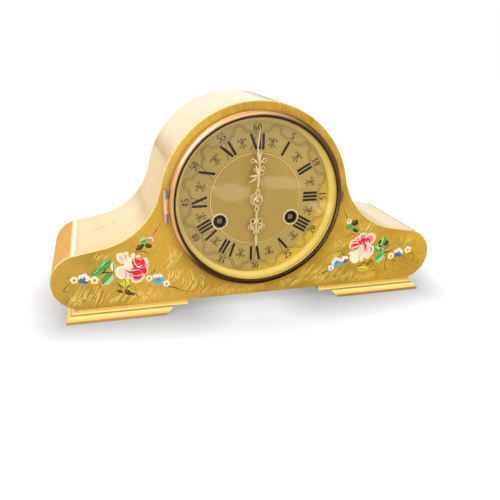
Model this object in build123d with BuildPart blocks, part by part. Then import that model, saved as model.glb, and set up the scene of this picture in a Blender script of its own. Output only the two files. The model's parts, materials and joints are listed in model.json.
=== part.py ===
from build123d import *
import os
from math import acos, atan2, cos, degrees, hypot, pi, radians, sin, sqrt, tan

os.makedirs("parts", exist_ok=True)

# Mantel clock in a tambour case, in millimetres. X runs to the viewer's right, the dial faces -Y and Z is up.
# The origin lies on the surface that the feet stand on, under the middle of the clock.
# A depth is measured backwards from the front face of the case.

# Case outline as seen from the front
dial_height = 106.0
arch_radius = 89.5
sweep_radius = 66.8
sweep_low_height = 68.2
lobe_radius = 26.7
lobe_centre_x = 161.0
edge_round = 1.2

# Case boards
case_depth = 105.0
front_thickness = 12.0
band_wall = 6.0
base_thickness = 10.0
back_thickness = 6.0
back_set_in = 1.0
board_gap = 0.2

# Feet, from the ground up: toe, flare, groove, upright face and sloping top
foot_toe = 3.0
foot_flare = 5.0
foot_groove = 0.5
foot_face = 0.5
foot_slope = 3.0
foot_overrun = 11.0
foot_length = 105.5
foot_reach = 1.5
foot_flare_reach = 3.0
foot_tuck = 1.0
foot_groove_inset = 1.0
foot_slope_run = 2.5
foot_end_slope_run = 7.0
foot_end_flare = 6.0
foot_inner_step = 13.0
foot_inner_slant = 9.0
screw_radius = 2.0
screw_head_radius = 4.0
screw_head_height = 2.5
screw_sink = 2.0
screw_bite = 8.0
screw_gap = 0.1

# Bezel door with its glass, sight ring, hinge and thumb tab
bezel_radius = 82.0
bezel_band = 4.0
bezel_cove = 2.4
bezel_rise = 7.5
bezel_side = 2.9
bezel_lift = 0.3
bezel_bead_step = 1.1
lip_depth = 5.6
lip_thickness = 0.8
glass_lap = 1.4
glass_thickness = 1.8
glass_dome = 4.0
glass_gap = 0.1
sight_rear_radius = 71.8
sight_wall = 1.2
sight_flange = 1.2
sight_dial_gap = 0.5
bezel_hinge_offset = 2.2
bezel_hinge_depth = 2.6
bezel_knuckle_radius = 2.0
bezel_hinge_length = 30.0
bezel_moving_knuckle = 14.0
hinge_leaf_thickness = 1.2
hinge_leaf_width = 6.2
hinge_web = 2.4
hinge_pin_radius = 0.8
running_gap = 0.05
end_gap = 0.2
tab_reach = 2.5
tab_width = 10.0
tab_thickness = 2.2
tab_corner = 0.8

# Dial
dial_set_back = 4.0
dial_thickness = 1.0
dial_gap = 0.3
recess_gap = 0.3
movement_hole_radius = 58.0
winding_spacing = 69.0
winding_drop = 19.1
ferrule_hole_radius = 5.7
ferrule_sleeve = 0.45
ferrule_flange = 1.8
ferrule_height = 0.8
dial_centre_hole = 3.6

# Hands
hour_hand_length = 46.0
minute_hand_length = 68.5
hand_thickness = 0.8
hour_hand_set_off = 2.0
hand_step = 1.4
hour_hub_radius = 5.4
minute_hub_radius = 4.4
hand_nut_radius = 3.6
hand_nut_height = 2.5
hand_nut_waist = 0.9
hand_bore_gap = 0.02

# Rear door and its hinges
door_half_width = 62.0
door_sill = 12.0
door_gap = 0.4
rear_hinge_length = 24.0
rear_moving_knuckle = 11.0
rear_hinge_rise = 18.0
rear_hinge_spacing = 40.0
rear_knuckle_radius = 1.6
rear_leaf_width = 8.0
rear_leaf_thickness = 0.8
rear_leaf_stand_off = 2.0
rear_knuckle_gap = 0.1
knob_radius = 5.0
knob_stem_radius = 2.2
knob_height = 7.0
knob_edge_inset = 12.0

# Movement frame
post_length = 5.0
post_radius = 4.0
plate_thickness = 2.0
plate_spacing = 34.0
plate_half_width = 58.0
plate_top = 56.0
plate_bottom = -46.0
plate_corner = 6.0
pillar_inset = 6.0
pillar_radius = 3.5
spigot_radius = 2.0
plate_screw_radius = 1.5
plate_screw_head = 3.0
plate_screw_head_height = 1.5
plate_screw_bite = 8.0
arbor_radius = 1.0

# Gear teeth
pressure_angle = radians(25)
addendum = 0.7
dedendum = 1.1
backlash = 0.2
most_pinion_leaves = 12
pinion_flank_steps = 3
rim_width = 1.4
hub_radius = 3.0
spoke_width = 1.6
spoke_count = 4

# Winding work
winding_square = 4.4
winding_square_set_back = 4.5
winding_arbor_radius = 3.0
ratchet_radius = 9.0
ratchet_tooth = 1.3
ratchet_teeth = 24
ratchet_thickness = 2.0
ratchet_plate_gap = 0.3
click_gap = 0.3
click_length = 12.0
click_width = 3.0

# Barrels and mainsprings
great_teeth = 72
great_module = 0.6
great_wheel_gap = 3.5
great_thickness = 2.5
barrel_radius = 20.5
barrel_wall = 1.2
barrel_length = 19.0
spring_inner_radius = 5.0
spring_strip = 0.5
spring_turns = 6
spring_end_gap = 1.0
spring_wall_gap = 0.25

# Going train
second_leaves = 12
second_teeth = 64
second_module = 0.5
centre_leaves = 12
centre_teeth = 84
centre_module = 0.4
third_leaves = 8
third_teeth = 80
third_module = 0.4
escape_leaves = 8
wheel_thickness = 1.5
leaf_overhang = 2.0
escape_height = 31.0
escape_teeth = 52
escape_radius = 12.5
escape_tooth = 1.7
escape_thickness = 1.2
pallet_span = 8.5
pallet_gap = 0.25
pallet_nib = 0.15
pallet_land = 0.6
pallet_arm = 2.2
wheel_layer_gap = 0.8
centre_layer = 11.0
third_layer = 19.0

# Pendulum
crutch_gap = 1.5
crutch_thickness = 1.5
crutch_width = 2.5
crutch_length = 32.0
crutch_pin_radius = 0.8
pendulum_set_back = 9.0
rod_radius = 1.2
rod_drop = 2.8
rod_tail = 8.0
bob_radius = 11.0
bob_thickness = 7.0
bob_edge = 1.5
bob_floor_gap = 16.0
rating_nut_radius = 3.5
rating_nut_height = 3.0
spring_strip_width = 4.0
suspension_strip = 0.3
cock_width = 12.0
cock_height = 6.0
cock_clear = 4.2
cock_grip = 4.0

# Motion work
cannon_leaves = 12
cannon_module = 0.5
minute_wheel_teeth = 36
minute_leaves = 10
hour_teeth = 40
cannon_tube_radius = 2.0
hour_pipe_radius = 3.0
minute_post_radius = 1.5
motion_plate_gap = 2.0
motion_step = 1.0

# Strike train
strike_second_teeth = 72
strike_second_module = 0.45
strike_second_angle = radians(80)
pin_leaves = 8
pin_teeth = 64
pin_angle = radians(70)
strike_module = 0.4
warning_leaves = 8
warning_teeth = 48
warning_angle = radians(120)
fly_leaves = 8
fly_angle = radians(20)
lifting_pins = 10
lifting_pin_radius = 0.6
lifting_pin_circle = 10.5
lifting_pin_length = 3.0
fly_vane_radius = 8.0
fly_vane_length = 10.0
fly_vane_thickness = 0.8
count_wheel_radius = 15.0
count_wheel_gap = 2.5
count_slot_depth = 2.5
count_slot_width = 1.6

# Bell and hammer
bell_x = -40.0
bell_drop = 12.0
bell_radius = 27.0
bell_height = 22.0
bell_wall = 1.6
bell_set_back = 5.0
bell_post_radius = 4.0
bell_neck_radius = 3.0
bell_foot_radius = 6.0
bell_foot_height = 2.0
bell_nut_radius = 5.5
bell_nut_height = 4.0
hammer_x = -52.0
hammer_rise = 34.0
hammer_arm_width = 2.5
hammer_arm_thickness = 2.0
hammer_tail_gap = 0.4
hammer_tail_thickness = 2.4
hammer_head_radius = 3.5
hammer_head_length = 9.0
hammer_gap = 1.2
hammer_head_rise = 2.0

# Levels of the case
foot_height = foot_toe + foot_flare + foot_groove + foot_face + foot_slope
base_top = foot_height + base_thickness
lobe_height = foot_height + lobe_radius
sweep_height = sweep_low_height + sweep_radius
sweep_centre_x = sqrt((arch_radius + sweep_radius) ** 2 - (sweep_height - dial_height) ** 2)

# Bezel sizes that its neighbours share
lip_radius = bezel_radius - bezel_band - bezel_cove
lip_rear = -lip_depth + lip_thickness
glass_seat = lip_radius + glass_lap
glass_radius = glass_seat - glass_gap
glass_edge = lip_rear + glass_gap + 2 * glass_dome * glass_lap / glass_radius
recess_radius = glass_seat + recess_gap

# Depths of the case
back_rear = case_depth - back_set_in
front_reach = max(bezel_rise, glass_dome - glass_edge)
rear_reach = max(knob_height - back_set_in, foot_reach + foot_flare_reach)
front_face_y = (front_reach - case_depth - rear_reach) / 2

# Depths of the movement
plate_front = front_thickness + post_length
plate_inner = plate_front + plate_thickness
back_plate_front = plate_inner + plate_spacing
back_plate_rear = back_plate_front + plate_thickness
great_front = plate_inner + great_wheel_gap
great_rear = great_front + great_thickness
barrel_rear = great_rear + barrel_length
second_front = barrel_rear + wheel_thickness
second_rear = second_front + wheel_thickness
escape_front = second_rear + wheel_layer_gap
escape_rear = escape_front + escape_thickness
centre_front = plate_inner + centre_layer
centre_rear = centre_front + wheel_thickness
third_front = plate_inner + third_layer
third_rear = third_front + wheel_thickness
ratchet_rear = plate_front - ratchet_plate_gap
ratchet_front = ratchet_rear - ratchet_thickness
rod_depth = back_plate_rear + pendulum_set_back
bell_rim = back_plate_rear + bell_set_back

# Depths of the dial and the hands
dial_rear = dial_set_back + dial_thickness
hour_hand_rear = dial_set_back - hour_hand_set_off
hour_hand_front = hour_hand_rear - hand_thickness
minute_hand_rear = hour_hand_front - hand_step
minute_hand_front = minute_hand_rear - hand_thickness
cannon_rear = plate_front - motion_plate_gap
cannon_front = cannon_rear - wheel_thickness
hour_wheel_rear = cannon_front - motion_step
hour_wheel_front = hour_wheel_rear - wheel_thickness


def case_plane(depth):
    # Faces the viewer at a depth, with its origin at ground level
    return Plane(origin=(0, front_face_y + depth, 0), x_dir=(1, 0, 0), z_dir=(0, -1, 0))


def dial_plane(depth):
    # Faces the viewer at a depth, with its origin on the dial's axis
    return Plane(origin=(0, front_face_y + depth, dial_height), x_dir=(1, 0, 0), z_dir=(0, -1, 0))


def turning_plane(at):
    # Holds the profile of a turned piece: local X is the depth and local Y the radius
    return Plane(origin=(at[0], front_face_y, dial_height + at[1]), x_dir=(0, 1, 0), z_dir=(1, 0, 0))


def turning_axis(at):
    return Axis((at[0], front_face_y, dial_height + at[1]), (0, 1, 0))


def level_plane(height):
    return Plane.XY.offset(height)


def save(piece, label):
    piece.part.label = label
    export_step(piece.part, f"parts/{label}.step")


def toward(start, end):
    return atan2(end[1] - start[1], end[0] - start[0])


def step_from(start, angle, distance):
    return (start[0] + distance * cos(angle), start[1] + distance * sin(angle))


def meeting_point(first, first_reach, second, second_reach, side):
    # Point at two given distances from two centres, on one side of the line between them
    span = hypot(second[0] - first[0], second[1] - first[1])
    along = (first_reach ** 2 - second_reach ** 2 + span ** 2) / (2 * span)
    across = sqrt(first_reach ** 2 - along ** 2)
    line = toward(first, second)
    return step_from(step_from(first, line, along), line + side * pi / 2, across)


def cap_drop(radius, rise):
    # How far a ball-shaped cap has fallen from its top at half its radius
    ball = (radius ** 2 + rise ** 2) / (2 * rise)
    return ball - sqrt(ball ** 2 - radius ** 2 / 4)


def mesh_distance(first_teeth, second_teeth, module):
    return (first_teeth + second_teeth) * module / 2


def mesh_phase(first_at, first_teeth, first_phase, second_at, second_teeth):
    # Turns the second gear so that a tooth of one stands in a space of the other
    line = toward(first_at, second_at)
    pitches = (line - first_phase) * first_teeth / (2 * pi)
    return line + pi - (0.5 - pitches) * 2 * pi / second_teeth


def involute(angle):
    return tan(angle) - angle


def gear_face(teeth, module, phase):
    pitch = teeth * module / 2
    base = pitch * cos(pressure_angle)
    root = pitch - dedendum * module
    tip = pitch + addendum * module
    steps = pinion_flank_steps if teeth <= most_pinion_leaves else 1
    flank = []
    for step in range(steps + 1):
        radius = root + (tip - root) * step / steps
        slope = acos(base / max(radius, base))
        flank.append((radius, (pi - backlash) / 2 / teeth + involute(pressure_angle) - involute(slope)))
    points = []
    for tooth in range(teeth):
        middle = phase + tooth * 2 * pi / teeth
        points += [step_from((0, 0), middle - half, radius) for radius, half in flank]
        points += [step_from((0, 0), middle + half, radius) for radius, half in reversed(flank)]
    with BuildSketch() as face:
        with BuildLine():
            Polyline(*points, close=True)
        make_face()
    return face.sketch


def spoke_windows(inner, outer):
    with BuildSketch() as windows:
        Circle(outer)
        Circle(inner, mode=Mode.SUBTRACT)
        with PolarLocations(0, spoke_count // 2, angular_range=180):
            Rectangle(2 * outer + spoke_width, spoke_width, mode=Mode.SUBTRACT)
    return windows.sketch


def sawtooth_face(teeth, radius, tooth_height, phase, lead, tail, land):
    # Pointed teeth: lead, tail and land are shares of one tooth's pitch
    pitch = 2 * pi / teeth
    points = []
    for tooth in range(teeth):
        middle = phase + tooth * pitch
        points.append(step_from((0, 0), middle - tail * pitch, radius - tooth_height))
        points.append(step_from((0, 0), middle - land * pitch, radius))
        points.append(step_from((0, 0), middle + land * pitch, radius))
        points.append(step_from((0, 0), middle + lead * pitch, radius - tooth_height))
    with BuildSketch() as face:
        with BuildLine():
            Polyline(*points, close=True)
        make_face()
    return face.sketch


def wheel_on_arbor(at, arbor_front, arbor_rear, gears, discs=()):
    # Each gear is its teeth, module, phase, front depth and rear depth, and each disc its face and depths
    with BuildPart() as wheel:
        with BuildSketch(dial_plane(arbor_rear)):
            with Locations(at):
                Circle(arbor_radius)
        extrude(amount=arbor_rear - arbor_front)
        for teeth, module, phase, front, rear in gears:
            with BuildSketch(dial_plane(rear)):
                with Locations(at):
                    add(gear_face(teeth, module, phase))
                    if teeth > most_pinion_leaves:
                        root = teeth * module / 2 - dedendum * module
                        add(spoke_windows(hub_radius, root - rim_width), mode=Mode.SUBTRACT)
            extrude(amount=rear - front)
        for face, front, rear in discs:
            with BuildSketch(dial_plane(rear)):
                with Locations(at):
                    add(face)
            extrude(amount=rear - front)
    return wheel


def leaf_shape(start, end, swell):
    # Pointed leaf between two points, as wide to each side as the swell
    lean = toward(start, end) + pi / 2
    middle = ((start[0] + end[0]) / 2, (start[1] + end[1]) / 2)
    with BuildSketch() as leaf:
        with BuildLine():
            ThreePointArc(start, step_from(middle, lean, swell), end)
            ThreePointArc(end, step_from(middle, lean, -swell), start)
        make_face()
    return leaf.sketch


def curl(at, radius, width):
    with BuildSketch() as ring:
        with Locations(at):
            Circle(radius)
            Circle(radius - width, mode=Mode.SUBTRACT)
    return ring.sketch


def case_outline(inset):
    # Arch, hollow sweeps and rounded ends; an inset keeps every centre and moves the line inwards
    arch = arch_radius - inset
    sweep = sweep_radius + inset
    lobe = lobe_radius - inset
    floor = foot_height + inset
    join = atan2(sweep_height - dial_height, sweep_centre_x)
    drop = (lobe_centre_x - sweep_centre_x, lobe_height - sweep_height)
    lean = atan2(drop[1], drop[0]) - acos((sweep_radius + lobe_radius) / hypot(*drop))
    with BuildSketch() as outline:
        with BuildLine():
            for side in (1, -1):
                def arch_point(angle):
                    return (side * arch * cos(angle), dial_height + arch * sin(angle))

                def sweep_point(angle):
                    return (side * (sweep_centre_x + sweep * cos(angle)), sweep_height + sweep * sin(angle))

                def lobe_point(angle):
                    return (side * (lobe_centre_x + lobe * cos(angle)), lobe_height + lobe * sin(angle))

                ThreePointArc(arch_point(pi / 2), arch_point((pi / 2 + join) / 2), arch_point(join))
                ThreePointArc(arch_point(join), sweep_point((join - pi + lean) / 2), sweep_point(lean))
                Line(sweep_point(lean), lobe_point(lean + pi))
                ThreePointArc(lobe_point(lean + pi), lobe_point((lean + pi / 2) / 2), lobe_point(-pi / 2))
                Line(lobe_point(-pi / 2), (0, floor))
        make_face()
    return outline.sketch


# Places on the movement, measured from the dial's axis
centre_at = (0, 0)
time_barrel_at = (winding_spacing / 2, -winding_drop)
strike_barrel_at = (-winding_spacing / 2, -winding_drop)
second_at = meeting_point(
    time_barrel_at, mesh_distance(great_teeth, second_leaves, great_module),
    centre_at, mesh_distance(second_teeth, centre_leaves, second_module), -1,
)
escape_at = (0, escape_height)
third_at = meeting_point(
    centre_at, mesh_distance(centre_teeth, third_leaves, centre_module),
    escape_at, mesh_distance(third_teeth, escape_leaves, third_module), -1,
)
pallet_half_angle = pallet_span / 2 * 2 * pi / escape_teeth
pallet_reach = escape_radius + pallet_gap
pallet_at = (0, escape_height + escape_radius / cos(pallet_half_angle))
minute_wheel_at = (0, mesh_distance(cannon_leaves, minute_wheel_teeth, cannon_module))
hour_module = 2 * minute_wheel_at[1] / (minute_leaves + hour_teeth)
strike_second_at = step_from(
    strike_barrel_at, strike_second_angle, mesh_distance(great_teeth, second_leaves, great_module)
)
pin_wheel_at = step_from(
    strike_second_at, pin_angle, mesh_distance(strike_second_teeth, pin_leaves, strike_second_module)
)
warning_at = step_from(pin_wheel_at, warning_angle, mesh_distance(pin_teeth, warning_leaves, strike_module))
fly_at = step_from(warning_at, fly_angle, mesh_distance(warning_teeth, fly_leaves, strike_module))
hammer_at = (hammer_x, hammer_rise)
bell_at = (bell_x, -bell_drop)
pillar_x = plate_half_width - pillar_inset
pillar_heights = (plate_bottom + pillar_inset, plate_top - pillar_inset)
pillar_places = [(side * pillar_x, height) for side in (-1, 1) for height in pillar_heights]
pivot_places = [
    second_at, centre_at, third_at, escape_at, pallet_at,
    strike_second_at, pin_wheel_at, warning_at, fly_at, hammer_at,
]
winding_places = [time_barrel_at, strike_barrel_at]

# Bezel hinge, upright at the left of the dial
bezel_axis_x = -bezel_radius - bezel_hinge_offset
bezel_hinge_plane = Plane(
    origin=(bezel_axis_x, front_face_y - bezel_hinge_depth, dial_height), x_dir=(1, 0, 0), z_dir=(0, 0, 1)
)
fixed_knuckle = (bezel_hinge_length - bezel_moving_knuckle) / 2 - end_gap

# Front panel: the whole outline, with a round recess for the dial and a hole for the movement
with BuildPart() as front_panel:
    with BuildSketch(case_plane(front_thickness)):
        add(case_outline(0))
    extrude(amount=front_thickness)
    fillet(front_panel.faces().sort_by(Axis.Y)[0].edges(), edge_round)
    with BuildSketch(dial_plane(dial_rear)):
        Circle(recess_radius)
    extrude(amount=dial_rear, mode=Mode.SUBTRACT)
    with BuildSketch(dial_plane(front_thickness)):
        Circle(movement_hole_radius)
    extrude(amount=front_thickness, mode=Mode.SUBTRACT)
    with BuildSketch(dial_plane(hinge_leaf_thickness)):
        with Locations((bezel_axis_x + hinge_leaf_width / 2, 0)):
            Rectangle(hinge_leaf_width, bezel_hinge_length)
    extrude(amount=hinge_leaf_thickness, mode=Mode.SUBTRACT)
save(front_panel, "front_panel")

# Bent band that makes the top and the rounded ends
with BuildPart() as case_band:
    with BuildSketch(case_plane(case_depth)):
        add(case_outline(0))
        add(case_outline(band_wall), mode=Mode.SUBTRACT)
        with Locations((0, foot_height)):
            Rectangle(2 * lobe_centre_x, 2 * band_wall, mode=Mode.SUBTRACT)
    extrude(amount=case_depth - front_thickness)
save(case_band, "case_band")

foot_inner_x = lobe_centre_x + foot_overrun - foot_length
screw_places = [
    (side * (foot_inner_x + share * foot_length), front_face_y + row * case_depth)
    for side in (-1, 1) for share in (0.3, 0.7) for row in (0.25, 0.75)
]

# Board under the movement, between the two rounded ends
with BuildPart() as base_board:
    with BuildSketch(case_plane(case_depth)):
        with Locations((0, foot_height + base_thickness / 2)):
            Rectangle(2 * lobe_centre_x, base_thickness)
    extrude(amount=case_depth - front_thickness)
    with BuildSketch(level_plane(foot_height)):
        with Locations(*screw_places):
            Circle(screw_radius + screw_gap)
    extrude(amount=screw_bite, mode=Mode.SUBTRACT)
save(base_board, "base_board")

door_bottom = base_top + door_sill
door_axis_x = door_half_width - door_gap / 2
door_axis_depth = back_rear + rear_knuckle_radius + rear_knuckle_gap


def door_face(inset):
    # Straight sides under a half-round head that is centred on the dial
    half = door_half_width - inset
    with BuildSketch() as face:
        with BuildLine():
            ThreePointArc((-half, dial_height), (0, dial_height + half), (half, dial_height))
            sill = door_bottom + inset
            Polyline((half, dial_height), (half, sill), (-half, sill), (-half, dial_height))
        make_face()
    return face.sketch


# Back panel, set inside the band, with the opening for the rear door
with BuildPart() as back_panel:
    with BuildSketch(case_plane(back_rear)):
        add(case_outline(band_wall + board_gap))
        with Locations((0, base_top + board_gap)):
            Rectangle(3 * lobe_centre_x, base_top, align=(Align.CENTER, Align.MAX), mode=Mode.SUBTRACT)
        add(door_face(0), mode=Mode.SUBTRACT)
    extrude(amount=back_thickness)
save(back_panel, "back_panel")

with BuildPart() as rear_door:
    with BuildSketch(case_plane(back_rear)):
        add(door_face(door_gap))
    extrude(amount=back_thickness)
save(rear_door, "rear_door")

with BuildPart() as rear_door_knob:
    knob_at = (-door_half_width + knob_edge_inset, 0)
    with BuildSketch(turning_plane(knob_at)):
        with BuildLine():
            neck = (back_rear + knob_height / 3, knob_stem_radius)
            brow = (back_rear + knob_height * 2 / 3, knob_radius)
            crest = back_rear + knob_height - cap_drop(knob_radius, knob_height / 3)
            Polyline((back_rear, 0), (back_rear, knob_stem_radius), neck, brow)
            ThreePointArc(brow, (crest, knob_radius / 2), (back_rear + knob_height, 0))
            Line((back_rear + knob_height, 0), (back_rear, 0))
        make_face()
    revolve(axis=turning_axis(knob_at))
save(rear_door_knob, "rear_door_knob")

rear_hinge_levels = [door_bottom + rear_hinge_rise + step * rear_hinge_spacing for step in (0, 1)]
rear_fixed_knuckle = (rear_hinge_length - rear_moving_knuckle) / 2 - end_gap


def rear_knuckle(bottom, height, side):
    # One knuckle of a rear hinge and the strip that ties it to its leaf
    middle = Plane(origin=(door_axis_x, front_face_y + door_axis_depth, bottom), z_dir=(0, 0, 1))
    web_depth = rear_knuckle_radius + rear_knuckle_gap
    with BuildPart() as knuckle:
        with BuildSketch(middle):
            Circle(rear_knuckle_radius)
            with Locations((0, -web_depth)):
                web_side = Align.MIN if side > 0 else Align.MAX
                Rectangle(rear_leaf_stand_off, rear_leaf_thickness, align=(web_side, Align.MIN))
            Circle(hinge_pin_radius + running_gap, mode=Mode.SUBTRACT)
        extrude(amount=height)
    return knuckle.part


def rear_leaves(side, knuckle_spans):
    # Leaves of both rear hinges on one side of the axis
    with BuildPart() as leaves:
        for level in rear_hinge_levels:
            with BuildSketch(case_plane(back_rear + rear_leaf_thickness)):
                with Locations((door_axis_x + side * (rear_leaf_stand_off + rear_leaf_width / 2), level)):
                    Rectangle(rear_leaf_width, rear_hinge_length)
            extrude(amount=rear_leaf_thickness)
            for start, height in knuckle_spans:
                add(rear_knuckle(level + start, height, side))
    return leaves


fixed_spans = [
    (-rear_hinge_length / 2, rear_fixed_knuckle),
    (rear_hinge_length / 2 - rear_fixed_knuckle, rear_fixed_knuckle),
]
rear_hinge_leaves = rear_leaves(1, fixed_spans)
save(rear_hinge_leaves, "rear_hinge_leaves")
rear_door_leaves = rear_leaves(-1, [(-rear_moving_knuckle / 2, rear_moving_knuckle)])
save(rear_door_leaves, "rear_door_leaves")

with BuildPart() as rear_hinge_pins:
    for level in rear_hinge_levels:
        pin_foot = (door_axis_x, front_face_y + door_axis_depth, level - rear_hinge_length / 2)
        with BuildSketch(Plane(origin=pin_foot, z_dir=(0, 0, 1))):
            Circle(hinge_pin_radius)
        extrude(amount=rear_hinge_length)
save(rear_hinge_pins, "rear_hinge_pins")

# Feet: stepped mouldings that run from front to back
foot_levels = [0, foot_toe, foot_toe + foot_flare]
groove_top = foot_toe + foot_flare + foot_groove
face_top = groove_top + foot_face
for foot_name, side in (("left_foot", -1), ("right_foot", 1)):
    outer_x = lobe_centre_x + foot_overrun

    def foot_section(height, inner, outer, reach):
        # Rectangle of one foot at one height
        with BuildSketch(level_plane(height)) as section:
            with Locations((side * (inner + outer) / 2, front_face_y + case_depth / 2)):
                Rectangle(outer - inner, case_depth + 2 * reach)
        return section.sketch

    slant_top = foot_inner_x + foot_inner_step
    slant_toe = slant_top + foot_inner_slant * foot_flare / (foot_toe + foot_flare)
    ground_reach = foot_reach + foot_flare_reach - foot_tuck
    ground = foot_section(0, slant_top + foot_inner_slant, outer_x + foot_end_flare - foot_tuck, ground_reach)
    toe = foot_section(foot_levels[1], slant_toe, outer_x + foot_end_flare, foot_reach + foot_flare_reach)
    shelf = foot_section(foot_levels[2], slant_top, outer_x, foot_reach)
    neck_inner = slant_top + foot_groove_inset
    neck = foot_section(
        foot_levels[2], neck_inner, outer_x - foot_groove_inset, foot_reach - foot_groove_inset
    )
    board = foot_section(groove_top, foot_inner_x, outer_x, foot_reach)
    slope_foot = foot_section(face_top, foot_inner_x, outer_x, foot_reach)
    slope_outer = outer_x - foot_end_slope_run
    slope_head = foot_section(foot_height, foot_inner_x, slope_outer, foot_reach - foot_slope_run)
    with BuildPart() as foot:
        loft([ground, toe], ruled=True)
        loft([toe, shelf], ruled=True)
        extrude(neck, amount=foot_groove)
        extrude(board, amount=foot_face)
        loft([slope_foot, slope_head], ruled=True)
        own_screws = [place for place in screw_places if place[0] * side > 0]
        with BuildSketch(level_plane(0)):
            with Locations(*own_screws):
                Circle(screw_head_radius + screw_gap)
        extrude(amount=screw_sink + screw_head_height, mode=Mode.SUBTRACT)
        with BuildSketch(level_plane(0)):
            with Locations(*own_screws):
                Circle(screw_radius + screw_gap)
        extrude(amount=foot_height, mode=Mode.SUBTRACT)
    save(foot, foot_name)

with BuildPart() as foot_screws:
    with BuildSketch(level_plane(screw_sink)):
        with Locations(*screw_places):
            Circle(screw_head_radius)
    extrude(amount=screw_head_height)
    with BuildSketch(level_plane(screw_sink)):
        with Locations(*screw_places):
            Circle(screw_radius)
    extrude(amount=foot_height + screw_bite - screw_sink)
save(foot_screws, "foot_screws")

# Bezel ring: upright side, rounded band, small step and hollow lip in front of the glass
with BuildPart() as bezel_ring:
    with BuildSketch(turning_plane(centre_at)):
        with BuildLine():
            side_top = (-bezel_lift - bezel_side, bezel_radius)
            bead_edge = (-bezel_rise, bezel_radius - bezel_band)
            bead_foot = (-bezel_rise + bezel_bead_step, bezel_radius - bezel_band - bezel_cove / 6)
            lip_edge = (-lip_depth, lip_radius)
            bend = sqrt(0.5)
            band_middle = (
                side_top[0] + (bead_edge[0] - side_top[0]) * bend,
                bead_edge[1] + (side_top[1] - bead_edge[1]) * bend,
            )
            Line((-bezel_lift, bezel_radius), side_top)
            ThreePointArc(side_top, band_middle, bead_edge)
            Polyline(bead_edge, bead_foot, lip_edge, (lip_rear, lip_radius), (lip_rear, glass_seat))
            Polyline((lip_rear, glass_seat), (-bezel_lift, glass_seat), (-bezel_lift, bezel_radius))
        make_face()
    revolve(axis=turning_axis(centre_at))
save(bezel_ring, "bezel_ring")

# Domed glass in the rebate behind the lip
with BuildPart() as bezel_glass:
    with BuildSketch(turning_plane(centre_at)):
        with BuildLine():
            glass_top = glass_edge - glass_dome
            glass_middle = glass_top + cap_drop(glass_radius, glass_dome)
            ThreePointArc((glass_edge, glass_radius), (glass_middle, glass_radius / 2), (glass_top, 0))
            Line((glass_top, 0), (glass_top + glass_thickness, 0))
            ThreePointArc(
                (glass_top + glass_thickness, 0), (glass_middle + glass_thickness, glass_radius / 2),
                (glass_edge + glass_thickness, glass_radius),
            )
            Line((glass_edge + glass_thickness, glass_radius), (glass_edge, glass_radius))
        make_face()
    revolve(axis=turning_axis(centre_at))
save(bezel_glass, "bezel_glass")

# Polished cone between the glass and the dial
with BuildPart() as sight_ring:
    with BuildSketch(turning_plane(centre_at)):
        with BuildLine():
            ring_front = glass_edge + glass_thickness + glass_gap
            flange_rear = ring_front + sight_flange
            ring_rear = dial_set_back - sight_dial_gap
            Polyline(
                (ring_front, glass_radius), (ring_front, lip_radius), (ring_rear, sight_rear_radius),
                (ring_rear, sight_rear_radius + sight_wall), (flange_rear, lip_radius + sight_wall / 2),
                (flange_rear, glass_radius), close=True,
            )
        make_face()
    revolve(axis=turning_axis(centre_at))
save(sight_ring, "sight_ring")

tab_rear = -bezel_lift - (bezel_side - tab_thickness) / 2
with BuildPart() as bezel_thumb_tab:
    with BuildSketch(dial_plane(tab_rear)):
        with Locations((bezel_radius + tab_reach, 0)):
            RectangleRounded(4 * tab_reach, tab_width, tab_corner, align=(Align.MAX, Align.CENTER))
        Circle(bezel_radius, mode=Mode.SUBTRACT)
    extrude(amount=tab_thickness)
save(bezel_thumb_tab, "bezel_thumb_tab")

with BuildPart() as bezel_hinge_knuckle:
    with BuildSketch(bezel_hinge_plane.offset(-bezel_moving_knuckle / 2)):
        Circle(bezel_knuckle_radius)
    extrude(amount=bezel_moving_knuckle)
    with BuildSketch(dial_plane(tab_rear)):
        with Locations((bezel_axis_x, 0)):
            Rectangle(2 * bezel_hinge_offset, bezel_moving_knuckle, align=(Align.MIN, Align.CENTER))
        Circle(bezel_radius, mode=Mode.SUBTRACT)
    extrude(amount=tab_thickness)
    with BuildSketch(bezel_hinge_plane.offset(-bezel_moving_knuckle / 2)):
        Circle(hinge_pin_radius + running_gap)
    extrude(amount=bezel_moving_knuckle, mode=Mode.SUBTRACT)
save(bezel_hinge_knuckle, "bezel_hinge_knuckle")

with BuildPart() as bezel_hinge_leaf:
    with BuildSketch(dial_plane(hinge_leaf_thickness)):
        with Locations((bezel_axis_x + hinge_leaf_width / 2, 0)):
            Rectangle(hinge_leaf_width, bezel_hinge_length)
    extrude(amount=hinge_leaf_thickness)
    for start in (-bezel_hinge_length / 2, bezel_hinge_length / 2 - fixed_knuckle):
        with BuildSketch(bezel_hinge_plane.offset(start)):
            Circle(bezel_knuckle_radius)
            with Locations((0, bezel_hinge_depth / 2)):
                Rectangle(hinge_web, bezel_hinge_depth)
        extrude(amount=fixed_knuckle)
        with BuildSketch(bezel_hinge_plane.offset(start)):
            Circle(hinge_pin_radius + running_gap)
        extrude(amount=fixed_knuckle, mode=Mode.SUBTRACT)
save(bezel_hinge_leaf, "bezel_hinge_leaf")

with BuildPart() as bezel_hinge_pin:
    with BuildSketch(bezel_hinge_plane.offset(-bezel_hinge_length / 2)):
        Circle(hinge_pin_radius)
    extrude(amount=bezel_hinge_length)
save(bezel_hinge_pin, "bezel_hinge_pin")

# Dial with its two winding holes
with BuildPart() as dial_plate:
    with BuildSketch(dial_plane(dial_rear)):
        Circle(recess_radius - dial_gap)
        Circle(dial_centre_hole, mode=Mode.SUBTRACT)
        with Locations(*winding_places):
            Circle(ferrule_hole_radius + ferrule_sleeve, mode=Mode.SUBTRACT)
    extrude(amount=dial_thickness)
save(dial_plate, "dial_plate")

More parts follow.
